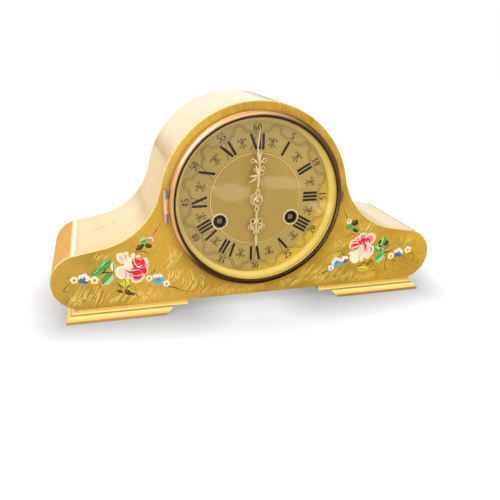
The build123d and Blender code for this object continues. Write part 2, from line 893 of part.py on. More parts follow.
with BuildPart() as winding_hole_ferrules:
    with BuildSketch(dial_plane(dial_rear)):
        with Locations(*winding_places):
            Circle(ferrule_hole_radius + ferrule_sleeve)
    extrude(amount=dial_thickness)
    with BuildSketch(dial_plane(dial_set_back)):
        with Locations(*winding_places):
            Circle(ferrule_hole_radius + ferrule_flange)
    extrude(amount=ferrule_height)
    with BuildSketch(dial_plane(dial_rear)):
        with Locations(*winding_places):
            Circle(ferrule_hole_radius)
    extrude(amount=dial_thickness + ferrule_height, mode=Mode.SUBTRACT)
save(winding_hole_ferrules, "winding_hole_ferrules")

# Plates, posts, pillars and screws that hold the movement together
with BuildPart() as movement_front_plate:
    with BuildSketch(dial_plane(plate_inner)):
        with Locations((0, (plate_top + plate_bottom) / 2)):
            RectangleRounded(2 * plate_half_width, plate_top - plate_bottom, plate_corner)
        with Locations(*pivot_places):
            Circle(arbor_radius + running_gap, mode=Mode.SUBTRACT)
        with Locations(*winding_places):
            Circle(winding_arbor_radius + running_gap, mode=Mode.SUBTRACT)
        with Locations(*pillar_places):
            Circle(spigot_radius + hand_bore_gap, mode=Mode.SUBTRACT)
    extrude(amount=plate_thickness)
    with BuildSketch(dial_plane(plate_front)):
        with Locations(minute_wheel_at):
            Circle(minute_post_radius)
    extrude(amount=plate_front - hour_wheel_front)
save(movement_front_plate, "movement_front_plate")

with BuildPart() as movement_back_plate:
    with BuildSketch(dial_plane(back_plate_rear)):
        with Locations((0, (plate_top + plate_bottom) / 2)):
            RectangleRounded(2 * plate_half_width, plate_top - plate_bottom, plate_corner)
        with Locations(*pivot_places):
            Circle(arbor_radius + running_gap, mode=Mode.SUBTRACT)
        with Locations(*winding_places):
            Circle(winding_arbor_radius + running_gap, mode=Mode.SUBTRACT)
        with Locations(*pillar_places):
            Circle(plate_screw_radius + screw_gap, mode=Mode.SUBTRACT)
    extrude(amount=plate_thickness)
save(movement_back_plate, "movement_back_plate")

with BuildPart() as movement_posts:
    with BuildSketch(dial_plane(plate_front)):
        with Locations(*pillar_places):
            Circle(post_radius)
    extrude(amount=post_length)
save(movement_posts, "movement_posts")

with BuildPart() as movement_pillars:
    with BuildSketch(dial_plane(back_plate_front)):
        with Locations(*pillar_places):
            Circle(pillar_radius)
    extrude(amount=plate_spacing)
    with BuildSketch(dial_plane(plate_inner)):
        with Locations(*pillar_places):
            Circle(spigot_radius)
    extrude(amount=plate_thickness)
    with BuildSketch(dial_plane(back_plate_front)):
        with Locations(*pillar_places):
            Circle(plate_screw_radius + screw_gap)
    extrude(amount=plate_screw_bite, mode=Mode.SUBTRACT)
save(movement_pillars, "movement_pillars")

with BuildPart() as movement_screws:
    with BuildSketch(dial_plane(back_plate_rear + plate_screw_head_height)):
        with Locations(*pillar_places):
            Circle(plate_screw_head)
    extrude(amount=plate_screw_head_height)
    with BuildSketch(dial_plane(back_plate_rear)):
        with Locations(*pillar_places):
            Circle(plate_screw_radius)
    extrude(amount=plate_thickness + plate_screw_bite)
save(movement_screws, "movement_screws")

# Barrels: great wheel, drum and cap in one, with a coiled mainspring inside
spring_outer_radius = barrel_radius - barrel_wall - spring_wall_gap
spring_step = (spring_outer_radius - spring_inner_radius - spring_strip) / spring_turns / 2


def spring_face():
    # Half circles on two centres in turn, each one step larger than the last
    with BuildSketch() as coil:
        with BuildLine():
            for edge in (0, spring_strip):
                for half in range(2 * spring_turns):
                    coil_radius = spring_inner_radius + half * spring_step + edge
                    CenterArc((spring_step * (half % 2), 0), coil_radius, 180 * (half % 2), 180)
            Line((spring_inner_radius, 0), (spring_inner_radius + spring_strip, 0))
            outer_end = spring_inner_radius + 2 * spring_turns * spring_step
            Line((outer_end, 0), (outer_end + spring_strip, 0))
        make_face()
    return coil.sketch


for train, barrel_at in (("time", time_barrel_at), ("strike", strike_barrel_at)):
    cavity_front = great_rear + barrel_wall
    cavity_rear = barrel_rear - barrel_wall
    with BuildPart() as barrel:
        with BuildSketch(dial_plane(great_rear)):
            with Locations(barrel_at):
                add(gear_face(great_teeth, great_module, 0))
        extrude(amount=great_thickness)
        with BuildSketch(dial_plane(barrel_rear)):
            with Locations(barrel_at):
                Circle(barrel_radius)
        extrude(amount=barrel_length)
        with BuildSketch(dial_plane(cavity_rear)):
            with Locations(barrel_at):
                Circle(barrel_radius - barrel_wall)
        extrude(amount=cavity_rear - cavity_front, mode=Mode.SUBTRACT)
        with BuildSketch(dial_plane(barrel_rear)):
            with Locations(barrel_at):
                Circle(winding_arbor_radius + running_gap)
        extrude(amount=barrel_rear - great_front, mode=Mode.SUBTRACT)
    save(barrel, f"{train}_barrel")

    with BuildPart() as mainspring:
        with BuildSketch(dial_plane(cavity_rear - spring_end_gap)):
            with Locations(barrel_at):
                add(spring_face())
        extrude(amount=cavity_rear - cavity_front - 2 * spring_end_gap)
    save(mainspring, f"{train}_mainspring")

    with BuildPart() as winding_arbor:
        with BuildSketch(dial_plane(ratchet_front)):
            with Locations(barrel_at):
                Rectangle(winding_square, winding_square)
        extrude(amount=ratchet_front - winding_square_set_back)
        with BuildSketch(dial_plane(ratchet_rear)):
            with Locations(barrel_at):
                add(sawtooth_face(ratchet_teeth, ratchet_radius, ratchet_tooth, 0, 0.05, 0.9, 0.02))
        extrude(amount=ratchet_thickness)
        with BuildSketch(dial_plane(back_plate_rear)):
            with Locations(barrel_at):
                Circle(winding_arbor_radius)
        extrude(amount=back_plate_rear - ratchet_rear)
    save(winding_arbor, f"{train}_winding_arbor")

# Clicks that hold the ratchets, on the front of the front plate
with BuildPart() as ratchet_clicks:
    for click_at in winding_places:
        click_tip = (click_at[0], click_at[1] + ratchet_radius + click_gap)
        with BuildSketch(dial_plane(plate_front)):
            with BuildLine():
                Polyline(
                    click_tip, (click_tip[0] + click_length, click_tip[1]),
                    (click_tip[0] + click_length, click_tip[1] + click_width),
                    (click_tip[0] + click_width, click_tip[1] + click_width), close=True,
                )
            make_face()
            with Locations((click_tip[0] + click_length, click_tip[1] + click_width / 2)):
                Circle(click_width / 2 + click_gap)
        extrude(amount=ratchet_thickness)
save(ratchet_clicks, "ratchet_clicks")

# Going train between the plates
second_phase = mesh_phase(time_barrel_at, great_teeth, 0, second_at, second_leaves)
great_leaf_front = great_front - leaf_overhang / 2
time_second_wheel = wheel_on_arbor(second_at, plate_front, back_plate_rear, [
    (second_leaves, great_module, second_phase, great_leaf_front, great_rear + leaf_overhang),
    (second_teeth, second_module, 0, second_front, second_rear),
])
save(time_second_wheel, "time_second_wheel")

centre_phase = mesh_phase(second_at, second_teeth, 0, centre_at, centre_leaves)
nut_grip_depth = minute_hand_front - hand_nut_height / 2
centre_leaf_front = second_front - leaf_overhang / 2
centre_wheel = wheel_on_arbor(centre_at, nut_grip_depth, back_plate_rear, [
    (centre_leaves, second_module, centre_phase, centre_leaf_front, second_rear + leaf_overhang),
    (centre_teeth, centre_module, 0, centre_front, centre_rear),
])
save(centre_wheel, "centre_wheel")

third_phase = mesh_phase(centre_at, centre_teeth, 0, third_at, third_leaves)
third_wheel = wheel_on_arbor(third_at, plate_front, back_plate_rear, [
    (third_leaves, centre_module, third_phase, centre_front - leaf_overhang, centre_rear + leaf_overhang),
    (third_teeth, third_module, 0, third_front, third_rear),
])
save(third_wheel, "third_wheel")

escape_pinion_phase = mesh_phase(third_at, third_teeth, 0, escape_at, escape_leaves)
escape_phase = pi / 2 - pallet_half_angle + pi / 2 / escape_teeth
with BuildSketch() as escape_face:
    add(sawtooth_face(escape_teeth, escape_radius, escape_tooth, escape_phase, 0.35, 0.35, 0.07))
    add(spoke_windows(hub_radius, escape_radius - escape_tooth - rim_width), mode=Mode.SUBTRACT)
third_leaf_front = third_front - leaf_overhang
escape_wheel = wheel_on_arbor(escape_at, plate_front, back_plate_rear, [
    (escape_leaves, third_module, escape_pinion_phase, third_leaf_front, third_rear + leaf_overhang),
], [(escape_face.sketch, escape_front, escape_rear)])
save(escape_wheel, "escape_wheel")

# Pallet anchor with its crutch; the pendulum hangs on the same axis
crutch_front = back_plate_rear + crutch_gap
crutch_rear = crutch_front + crutch_thickness
with BuildPart() as pallet_anchor:
    with BuildSketch(dial_plane(crutch_rear)):
        with Locations(pallet_at):
            Circle(arbor_radius)
    extrude(amount=crutch_rear - plate_front)
    with BuildSketch(dial_plane(escape_rear)):
        with Locations(pallet_at):
            Circle(pallet_at[1] - escape_height - escape_radius - pallet_gap)
        for side in (1, -1):
            outward = pi / 2 - side * pallet_half_angle
            along = outward - side * pi / 2
            nib = step_from(escape_at, outward, pallet_reach)
            land_middle = step_from(nib, outward, pallet_land)
            with BuildLine():
                Polyline(
                    step_from(nib, along, -pallet_nib), step_from(land_middle, along, -2 * pallet_nib),
                    step_from(pallet_at, outward, pallet_land), step_from(pallet_at, outward, pallet_arm),
                    step_from(step_from(nib, outward, pallet_arm), along, 2 * pallet_nib),
                    step_from(land_middle, along, 2 * pallet_nib), step_from(nib, along, pallet_nib),
                    close=True,
                )
            make_face()
    extrude(amount=escape_thickness)
    with BuildSketch(dial_plane(crutch_rear)):
        with Locations(pallet_at):
            Circle(hub_radius)
            Rectangle(crutch_width, crutch_length, align=(Align.CENTER, Align.MAX))
        with Locations((pallet_at[0], pallet_at[1] - crutch_length)):
            Rectangle(2 * (rod_radius + 2 * crutch_pin_radius + screw_gap), crutch_width)
    extrude(amount=crutch_thickness)
    pin_side = rod_radius + crutch_pin_radius + screw_gap
    with BuildSketch(dial_plane(rod_depth + rod_radius)):
        with Locations((pallet_at[0], pallet_at[1] - crutch_length)):
            with Locations((pin_side, 0), (-pin_side, 0)):
                Circle(crutch_pin_radius)
    extrude(amount=rod_depth + rod_radius - crutch_rear)
save(pallet_anchor, "pallet_anchor")

pallet_height = dial_height + pallet_at[1]
bob_height = base_top + bob_floor_gap + bob_radius
rod_y = front_face_y + rod_depth
with BuildPart() as pendulum_rod:
    with BuildSketch(Plane.XY.offset(bob_height - bob_radius - rod_tail)):
        with Locations((0, rod_y)):
            Circle(rod_radius)
    extrude(amount=pallet_height - rod_drop - bob_height + bob_radius + rod_tail)
save(pendulum_rod, "pendulum_rod")

with BuildPart() as pendulum_bob:
    bob_at = (0, bob_height - dial_height)
    bob_swell = (bob_thickness - bob_edge) / 2
    bob_middle = bob_thickness / 2 - cap_drop(bob_radius, bob_swell)
    with BuildSketch(turning_plane(bob_at)):
        with BuildLine():
            for face_side in (-1, 1):
                ThreePointArc(
                    (rod_depth + face_side * bob_edge / 2, bob_radius),
                    (rod_depth + face_side * bob_middle, bob_radius / 2),
                    (rod_depth + face_side * bob_thickness / 2, 0),
                )
            Line((rod_depth - bob_edge / 2, bob_radius), (rod_depth + bob_edge / 2, bob_radius))
            Line((rod_depth - bob_thickness / 2, 0), (rod_depth + bob_thickness / 2, 0))
        make_face()
    revolve(axis=turning_axis(bob_at))
    with BuildSketch(Plane.XY.offset(bob_height - 2 * bob_radius)):
        with Locations((0, rod_y)):
            Circle(rod_radius + running_gap)
    extrude(amount=4 * bob_radius, mode=Mode.SUBTRACT)
save(pendulum_bob, "pendulum_bob")

with BuildPart() as rating_nut:
    with BuildSketch(Plane.XY.offset(bob_height - bob_radius - rating_nut_height)):
        with Locations((0, rod_y)):
            Circle(rating_nut_radius)
            Circle(rod_radius + running_gap, mode=Mode.SUBTRACT)
    extrude(amount=rating_nut_height)
save(rating_nut, "rating_nut")

# Cock on the back plate, and the thin spring that the pendulum swings on
cock_bottom = pallet_at[1] + cock_clear
cock_rear = rod_depth + spring_strip_width / 2
with BuildPart() as suspension_cock:
    with BuildSketch(dial_plane(cock_rear)):
        with Locations((0, cock_bottom + cock_height / 2)):
            Rectangle(cock_width, cock_height)
    extrude(amount=cock_rear - back_plate_rear)
    with BuildSketch(dial_plane(cock_rear)):
        with Locations((0, cock_bottom)):
            Rectangle(suspension_strip + 2 * running_gap, cock_grip, align=(Align.CENTER, Align.MIN))
    extrude(amount=spring_strip_width, mode=Mode.SUBTRACT)
save(suspension_cock, "suspension_cock")

with BuildPart() as suspension_spring:
    spring_foot = pallet_at[1] - rod_drop + end_gap
    with BuildSketch(dial_plane(cock_rear)):
        with Locations((0, spring_foot)):
            Rectangle(
                suspension_strip, cock_bottom + cock_grip - spring_foot, align=(Align.CENTER, Align.MIN)
            )
    extrude(amount=spring_strip_width)
save(suspension_spring, "suspension_spring")

# Motion work between the front plate and the dial
with BuildPart() as cannon_pinion:
    with BuildSketch(dial_plane(cannon_rear)):
        add(gear_face(cannon_leaves, cannon_module, 0))
    extrude(amount=wheel_thickness)
    with BuildSketch(dial_plane(cannon_rear)):
        Circle(cannon_tube_radius)
    extrude(amount=cannon_rear - minute_hand_front)
    with BuildSketch(dial_plane(cannon_rear)):
        Circle(arbor_radius + hand_bore_gap)
    extrude(amount=cannon_rear - minute_hand_front, mode=Mode.SUBTRACT)
save(cannon_pinion, "cannon_pinion")

minute_wheel_phase = mesh_phase(centre_at, cannon_leaves, 0, minute_wheel_at, minute_wheel_teeth)
with BuildPart() as minute_wheel:
    with BuildSketch(dial_plane(cannon_rear)):
        with Locations(minute_wheel_at):
            add(gear_face(minute_wheel_teeth, cannon_module, minute_wheel_phase))
    extrude(amount=wheel_thickness)
    with BuildSketch(dial_plane(cannon_rear)):
        with Locations(minute_wheel_at):
            add(gear_face(minute_leaves, hour_module, 0))
    extrude(amount=cannon_rear - hour_wheel_front)
    with BuildSketch(dial_plane(cannon_rear)):
        with Locations(minute_wheel_at):
            Circle(minute_post_radius + running_gap)
    extrude(amount=cannon_rear - hour_wheel_front, mode=Mode.SUBTRACT)
save(minute_wheel, "minute_wheel")

hour_phase = mesh_phase(minute_wheel_at, minute_leaves, 0, centre_at, hour_teeth)
with BuildPart() as hour_wheel:
    with BuildSketch(dial_plane(hour_wheel_rear)):
        add(gear_face(hour_teeth, hour_module, hour_phase))
    extrude(amount=wheel_thickness)
    with BuildSketch(dial_plane(hour_wheel_rear)):
        Circle(hour_pipe_radius)
    extrude(amount=hour_wheel_rear - hour_hand_front)
    with BuildSketch(dial_plane(hour_wheel_rear)):
        Circle(cannon_tube_radius + running_gap)
    extrude(amount=hour_wheel_rear - hour_hand_front, mode=Mode.SUBTRACT)
save(hour_wheel, "hour_wheel")

# Hour hand, pointing down: hub, small loop, twisted stem, four scrolls, three beads and a spear
with BuildPart() as hour_hand:
    with BuildSketch(dial_plane(hour_hand_rear)):
        with Locations(Rotation(0, 0, 180)):
            Circle(hour_hub_radius)
            add(leaf_shape((0, hour_hub_radius - 1), (0, 12), 2.3))
            with Locations((0, 8.3)):
                Ellipse(1.0, 1.7, mode=Mode.SUBTRACT)
            add(leaf_shape((0, 10.5), (0, 18), 1.3))
            for side in (-1, 1):
                add(curl((side * 3.3, 20.2), 2.9, 0.9))
                add(curl((side * 5.0, 25.6), 3.2, 0.9))
                add(curl((side * 5.0, 25.6), 1.5, 1.4))
                add(leaf_shape((0, 16), (side * 2.6, 22.6), 0.8))
                add(leaf_shape((0, 31.5), (side * 6.6, 22.8), 0.9))
                with Locations((side * 2.0, 31.2)):
                    Circle(1.3)
            add(leaf_shape((0, 15), (0, 33), 1.1))
            add(leaf_shape((0, 30.5), (0, hour_hand_length), 1.5))
        Circle(hour_pipe_radius + hand_bore_gap, mode=Mode.SUBTRACT)
    extrude(amount=hand_thickness)
save(hour_hand, "hour_hand")

# Minute hand, pointing up: hub, loop, bent stem, leaf wing, curls, cross piece and a long thin blade
with BuildPart() as minute_hand:
    with BuildSketch(dial_plane(minute_hand_rear)):
        Circle(minute_hub_radius)
        add(leaf_shape((0, minute_hub_radius - 1), (0, 11.5), 2.5))
        with Locations((0, 7.4)):
            Ellipse(1.1, 1.9, mode=Mode.SUBTRACT)
        add(leaf_shape((-0.6, 9.5), (1.2, 25), 0.9))
        add(leaf_shape((1.0, 22.5), (-9.0, 17.0), 0.9))
        add(leaf_shape((0.6, 23.5), (-8.4, 23.0), 1.2))
        add(leaf_shape((1.0, 22.0), (-2.6, 33.5), 1.3))
        add(leaf_shape((1.0, 22.0), (1.2, 39.0), 1.0))
        add(curl((3.3, 26.0), 2.4, 0.8))
        add(curl((4.2, 30.2), 2.0, 0.7))
        add(curl((-2.8, 29.0), 1.7, 0.7))
        for side in (-1, 1):
            add(leaf_shape((0.6, 34.0), (side * 5.6, 39.3), 0.8))
            add(curl((side * 5.4, 37.2), 2.3, 0.8))
        add(leaf_shape((0.8, 35.0), (2.6, 47.0), 0.8))
        add(leaf_shape((0.8, 35.0), (-1.6, 45.0), 0.8))
        add(leaf_shape((-1.6, 40.5), (1.2, minute_hand_length), 0.75))
        add(leaf_shape((0.8, 36.0), (-1.0, 52.0), 0.8))
        Circle(cannon_tube_radius + hand_bore_gap, mode=Mode.SUBTRACT)
    extrude(amount=hand_thickness)
save(minute_hand, "minute_hand")

# Domed nut that holds the hands
with BuildPart() as hand_nut:
    nut_rear = minute_hand_front
    nut_front = nut_rear - hand_nut_height
    with BuildSketch(turning_plane(centre_at)):
        with BuildLine():
            shoulder = (nut_rear - hand_nut_waist, hand_nut_radius)
            dome = nut_front + cap_drop(hand_nut_radius, hand_nut_height - hand_nut_waist)
            Polyline((nut_front, 0), (nut_rear, 0), (nut_rear, hand_nut_radius), shoulder)
            ThreePointArc(shoulder, (dome, hand_nut_radius / 2), (nut_front, 0))
        make_face()
    revolve(axis=turning_axis(centre_at))
    with BuildSketch(dial_plane(nut_rear)):
        Circle(arbor_radius + hand_bore_gap)
    extrude(amount=nut_rear - nut_grip_depth + end_gap, mode=Mode.SUBTRACT)
save(hand_nut, "hand_nut")

# Strike train between the plates
strike_second_phase = mesh_phase(strike_barrel_at, great_teeth, 0, strike_second_at, second_leaves)
count_front = back_plate_rear + count_wheel_gap
count_rear = count_front + wheel_thickness
strike_second_wheel = wheel_on_arbor(strike_second_at, plate_front, count_rear, [
    (second_leaves, great_module, strike_second_phase, great_leaf_front, great_rear + leaf_overhang),
    (strike_second_teeth, strike_second_module, 0, second_front, second_rear),
])
save(strike_second_wheel, "strike_second_wheel")

with BuildPart() as count_wheel:
    with BuildSketch(dial_plane(count_rear)):
        with Locations(strike_second_at):
            Circle(count_wheel_radius)
            Circle(arbor_radius + hand_bore_gap, mode=Mode.SUBTRACT)
            strokes_in_a_round = sum(range(1, 13))
            struck = 0
            for hour in range(1, 13):
                struck += hour
                with PolarLocations(count_wheel_radius, 1, start_angle=360 * struck / strokes_in_a_round):
                    Rectangle(2 * count_slot_depth, count_slot_width, mode=Mode.SUBTRACT)
    extrude(amount=wheel_thickness)
save(count_wheel, "count_wheel")

pin_phase = mesh_phase(strike_second_at, strike_second_teeth, 0, pin_wheel_at, pin_leaves)
with BuildSketch() as pin_wheel_face:
    add(gear_face(pin_teeth, strike_module, 0))
    pin_inside = lifting_pin_circle - lifting_pin_radius - running_gap
    add(spoke_windows(hub_radius, pin_inside), mode=Mode.SUBTRACT)
with BuildSketch() as lifting_pin_faces:
    with PolarLocations(lifting_pin_circle, lifting_pins):
        Circle(lifting_pin_radius)
pin_wheel = wheel_on_arbor(pin_wheel_at, plate_front, back_plate_rear, [
    (pin_leaves, strike_second_module, pin_phase, second_front - leaf_overhang, second_rear + leaf_overhang),
], [
    (pin_wheel_face.sketch, third_front, third_rear),
    (lifting_pin_faces.sketch, third_front - lifting_pin_length, third_front),
])
save(pin_wheel, "pin_wheel")

warning_phase = mesh_phase(pin_wheel_at, pin_teeth, 0, warning_at, warning_leaves)
warning_wheel = wheel_on_arbor(warning_at, plate_front, back_plate_rear, [
    (warning_leaves, strike_module, warning_phase, third_front - leaf_overhang, third_rear + leaf_overhang),
    (warning_teeth, strike_module, 0, centre_front, centre_rear),
])
save(warning_wheel, "warning_wheel")

fly_phase = mesh_phase(warning_at, warning_teeth, 0, fly_at, fly_leaves)
fly_rear = back_plate_front - wheel_layer_gap
with BuildSketch() as vane_face:
    Rectangle(2 * fly_vane_radius, fly_vane_thickness)
    Circle(arbor_radius + fly_vane_thickness)
strike_fly = wheel_on_arbor(fly_at, plate_front, back_plate_rear, [
    (fly_leaves, strike_module, fly_phase, centre_front - leaf_overhang, centre_rear + leaf_overhang),
], [(vane_face.sketch, fly_rear - fly_vane_length, fly_rear)])
save(strike_fly, "strike_fly")

# Bell on its stand behind the back plate
bell_crown = bell_rim + bell_height
with BuildPart() as bell_stand:
    with BuildSketch(dial_plane(back_plate_rear + bell_foot_height)):
        with Locations(bell_at):
            Circle(bell_foot_radius)
    extrude(amount=bell_foot_height)
    with BuildSketch(dial_plane(bell_crown - bell_wall)):
        with Locations(bell_at):
            Circle(bell_post_radius)
    extrude(amount=bell_crown - bell_wall - back_plate_rear)
    with BuildSketch(dial_plane(bell_crown)):
        with Locations(bell_at):
            Circle(bell_neck_radius)
    extrude(amount=bell_wall)
    with BuildSketch(dial_plane(bell_crown + bell_nut_height)):
        with Locations(bell_at):
            RegularPolygon(bell_nut_radius, 6)
    extrude(amount=bell_nut_height)
save(bell_stand, "bell_stand")

with BuildPart() as bell:
    with BuildSketch(turning_plane(bell_at)):
        with BuildLine():
            outer_bend = (bell_rim + bell_height * 0.62, bell_radius * 0.84)
            inner_bend = (outer_bend[0] - bell_wall * 0.7, outer_bend[1] - bell_wall * 0.7)
            crown_edge = bell_nut_radius + bell_wall
            crown_inside = bell_crown - bell_wall
            neck_hole = bell_neck_radius + running_gap
            ThreePointArc((bell_rim, bell_radius), outer_bend, (bell_crown, crown_edge))
            Polyline(
                (bell_crown, crown_edge), (bell_crown, neck_hole),
                (crown_inside, neck_hole), (crown_inside, crown_edge),
            )
            ThreePointArc((crown_inside, crown_edge), inner_bend, (bell_rim, bell_radius - bell_wall))
            Line((bell_rim, bell_radius - bell_wall), (bell_rim, bell_radius))
        make_face()
    revolve(axis=turning_axis(bell_at))
save(bell, "bell")

# Hammer: arbor, tail that the lifting pins would push, arm and head
head_depth = bell_rim + hammer_head_radius / 2
head_centre_x = bell_x - bell_radius - hammer_gap - hammer_head_length / 2
head_at = (head_centre_x, hammer_head_rise - bell_drop)
arm_rear = head_depth + hammer_arm_thickness / 2
tail_rear = third_front - end_gap
with BuildPart() as hammer:
    with BuildSketch(dial_plane(arm_rear)):
        with Locations(hammer_at):
            Circle(arbor_radius)
    extrude(amount=arm_rear - plate_front)
    tail_angle = toward(hammer_at, pin_wheel_at)
    pin_sweep = lifting_pin_circle + lifting_pin_radius + hammer_tail_gap
    tail_length = hypot(pin_wheel_at[0] - hammer_at[0], pin_wheel_at[1] - hammer_at[1]) - pin_sweep
    with BuildSketch(dial_plane(tail_rear)):
        with Locations(Location((hammer_at[0], hammer_at[1]), (0, 0, degrees(tail_angle)))):
            Circle(hub_radius)
            Rectangle(tail_length, hammer_arm_width, align=(Align.MIN, Align.CENTER))
    extrude(amount=hammer_tail_thickness)
    arm_angle = toward(hammer_at, head_at)
    arm_length = hypot(head_at[0] - hammer_at[0], head_at[1] - hammer_at[1])
    with BuildSketch(dial_plane(arm_rear)):
        with Locations(Location((hammer_at[0], hammer_at[1]), (0, 0, degrees(arm_angle)))):
            Circle(hub_radius)
            Rectangle(arm_length, hammer_arm_width, align=(Align.MIN, Align.CENTER))
    extrude(amount=hammer_arm_thickness)
    head_start = (head_centre_x - hammer_head_length / 2, front_face_y + head_depth, dial_height + head_at[1])
    with BuildSketch(Plane(origin=head_start, z_dir=(1, 0, 0))):
        Circle(hammer_head_radius)
    extrude(amount=hammer_head_length)
save(hammer, "hammer")
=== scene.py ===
import bpy
import json
import random
from math import atan2, cos, hypot, pi, radians, sin
from mathutils import Matrix, Vector


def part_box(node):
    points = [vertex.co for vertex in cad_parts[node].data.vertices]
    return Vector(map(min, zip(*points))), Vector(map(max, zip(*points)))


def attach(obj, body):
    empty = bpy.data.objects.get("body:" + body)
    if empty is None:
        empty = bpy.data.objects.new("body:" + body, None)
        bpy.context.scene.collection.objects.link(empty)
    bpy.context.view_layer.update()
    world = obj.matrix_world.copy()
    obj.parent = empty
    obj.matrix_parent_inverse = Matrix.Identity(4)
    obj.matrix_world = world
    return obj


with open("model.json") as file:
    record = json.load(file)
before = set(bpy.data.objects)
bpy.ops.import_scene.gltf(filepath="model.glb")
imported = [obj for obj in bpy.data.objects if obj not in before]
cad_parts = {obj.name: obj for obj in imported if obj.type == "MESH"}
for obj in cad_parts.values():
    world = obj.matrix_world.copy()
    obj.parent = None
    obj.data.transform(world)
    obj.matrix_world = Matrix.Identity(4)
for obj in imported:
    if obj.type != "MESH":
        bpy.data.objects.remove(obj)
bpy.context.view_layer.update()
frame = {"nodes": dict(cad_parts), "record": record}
nodes = frame["nodes"]
mm = 0.001
print("frame loaded:", len(nodes), "nodes")

dialLow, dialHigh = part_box("dial_plate")
dialX = (dialLow.x + dialHigh.x) / 2 / mm
dialZ = (dialLow.z + dialHigh.z) / 2 / mm
dialFace = dialLow.y / mm
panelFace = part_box("front_panel")[0].y / mm
# the two winding holes: outer radius of their eyelets, distance from the dial's middle, height
holesLow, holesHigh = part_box("winding_hole_ferrules")
holeRadius = (holesHigh.z - holesLow.z) / 2 / mm
holeAside = (holesHigh.x - holesLow.x) / 2 / mm - holeRadius
holeZ = (holesLow.z + holesHigh.z) / 2 / mm


def tint(red, green, blue):
    # 0 to 255 as seen on screen, turned into the linear levels that shaders use
    def linear(level):
        share = level / 255
        return share / 12.92 if share <= 0.04045 else ((share + 0.055) / 1.055) ** 2.4
    return (linear(red), linear(green), linear(blue), 1.0)


class Wire:
    # a shader socket that takes Python's own arithmetic
    def __init__(self, finish, socket):
        self.finish = finish
        self.socket = socket

    def math(self, operation, *others):
        return self.finish.node("ShaderNodeMath", {"operation": operation}, dict(enumerate((self, *others))))

    def __add__(self, other):
        return self.math("ADD", other)

    def __sub__(self, other):
        return self.math("SUBTRACT", other)

    def __rsub__(self, other):
        return self.finish.node("ShaderNodeMath", {"operation": "SUBTRACT"}, {0: other, 1: self})

    def __mul__(self, other):
        return self.math("MULTIPLY", other)

    def __abs__(self):
        return self.math("ABSOLUTE")

    __radd__ = __add__
    __rmul__ = __mul__

    def output(self, name):
        return Wire(self.finish, self.socket.node.outputs[name])

    def between(self, low, high):
        # 0 up to low, 1 from high on, smooth in between
        sockets = {"Value": self, "From Min": low, "From Max": high}
        return self.finish.node("ShaderNodeMapRange", {"interpolation_type": "SMOOTHSTEP"}, sockets)

    def band(self, low, high, soft):
        # 1 from low to high, fading over the soft width at both ends
        return self.between(low - soft, low) * (1 - self.between(high, high + soft))

    def about(self, middle, swing):
        # noise brought to vary about a middle value, by half the swing each way
        return self * swing + (middle - swing / 2)


def span(across, up):
    # straight distance from its two sides
    return (across * across + up * up).math("SQRT")


def downRight(across, up):
    # how far towards the lower right
    return (across - up) * 0.7


class Finish:
    # the nodes of one material, or of the sky, all made by one method
    def __init__(self, name, kind="materials"):
        self.owner = getattr(bpy.data, kind).new(name)
        self.owner.use_nodes = True
        self.tree = self.owner.node_tree
        self.tree.nodes.clear()

    def node(self, kind, settings={}, sockets={}, out=0):
        made = self.tree.nodes.new(kind)
        for key, value in settings.items():
            setattr(made, key, value)
        for key, value in sockets.items():
            if isinstance(value, Wire):
                self.tree.links.new(value.socket, made.inputs[key])
            else:
                made.inputs[key].default_value = value
        return Wire(self, made.outputs[out]) if made.outputs else None

    def mix(self, share, low, high):
        # colours: low where share is 0, high where it is 1
        return self.node("ShaderNodeMix", {"data_type": "RGBA"}, {0: share, 6: low, 7: high}, 2)

    def darken(self, colour, share):
        # multiplies a colour by a value
        settings = {"data_type": "RGBA", "blend_type": "MULTIPLY"}
        grey = self.node("ShaderNodeCombineColor", {}, {0: share, 1: share, 2: share})
        return self.node("ShaderNodeMix", settings, {0: 1.0, 6: colour, 7: grey}, 2)

    def points(self):
        # the piece's own coordinates in millimetres
        place = self.node("ShaderNodeTexCoord", out=3)
        return self.node("ShaderNodeVectorMath", {"operation": "SCALE"}, {0: place, "Scale": 1 / mm})

    def split(self, vector):
        first = self.node("ShaderNodeSeparateXYZ", {}, {0: vector})
        return first, first.output("Y"), first.output("Z")

    def onDial(self, vector):
        # distances from the dial's middle, to the right and up
        x, y, z = self.split(vector)
        return x - dialX, z - dialZ

    def facing(self):
        # 1 where the surface looks straight to the front or the back, 0 on a wall
        return abs(self.split(self.node("ShaderNodeNewGeometry", out=1))[1])

    def stretched(self, vector, lean, sizes):
        # turns the pattern about the dial's axis, then divides by its sizes
        sockets = {"Vector": vector, "Rotation": (0, lean, 0), "Scale": sizes}
        return self.node("ShaderNodeMapping", {"vector_type": "TEXTURE"}, sockets)

    def noise(self, vector, scale=1.0, detail=2.0, wander=0.0):
        sockets = {"Vector": vector, "Scale": scale, "Detail": detail, "Distortion": wander}
        return self.node("ShaderNodeTexNoise", {}, sockets)

    def turning(self, away, closeness):
        # fine lines round the dial's axis, as a lathe leaves them
        return self.noise(self.node("ShaderNodeCombineXYZ", {}, {0: away * closeness}))

    def rays(self):
        # 1 for what the camera sees, also through glass; 1 for what polished surfaces see
        path = self.node("ShaderNodeLightPath")
        return path.math("MAXIMUM", path.output("Is Transmission Ray")), path.output("Is Glossy Ray")

    def close(self, sockets, height, depth, strength):
        # shader, bump and output
        bump = {"Height": height, "Distance": depth * mm, "Strength": strength}
        sockets = dict(sockets, Normal=self.node("ShaderNodeBump", {}, bump))
        shader = self.node("ShaderNodeBsdfPrincipled", {}, sockets)
        self.node("ShaderNodeOutputMaterial", {}, {"Surface": shader})
        return self.owner


def dress(material, *names):
    for name in names:
        slots = nodes[name].data.materials
        slots.clear()
        slots.append(material)


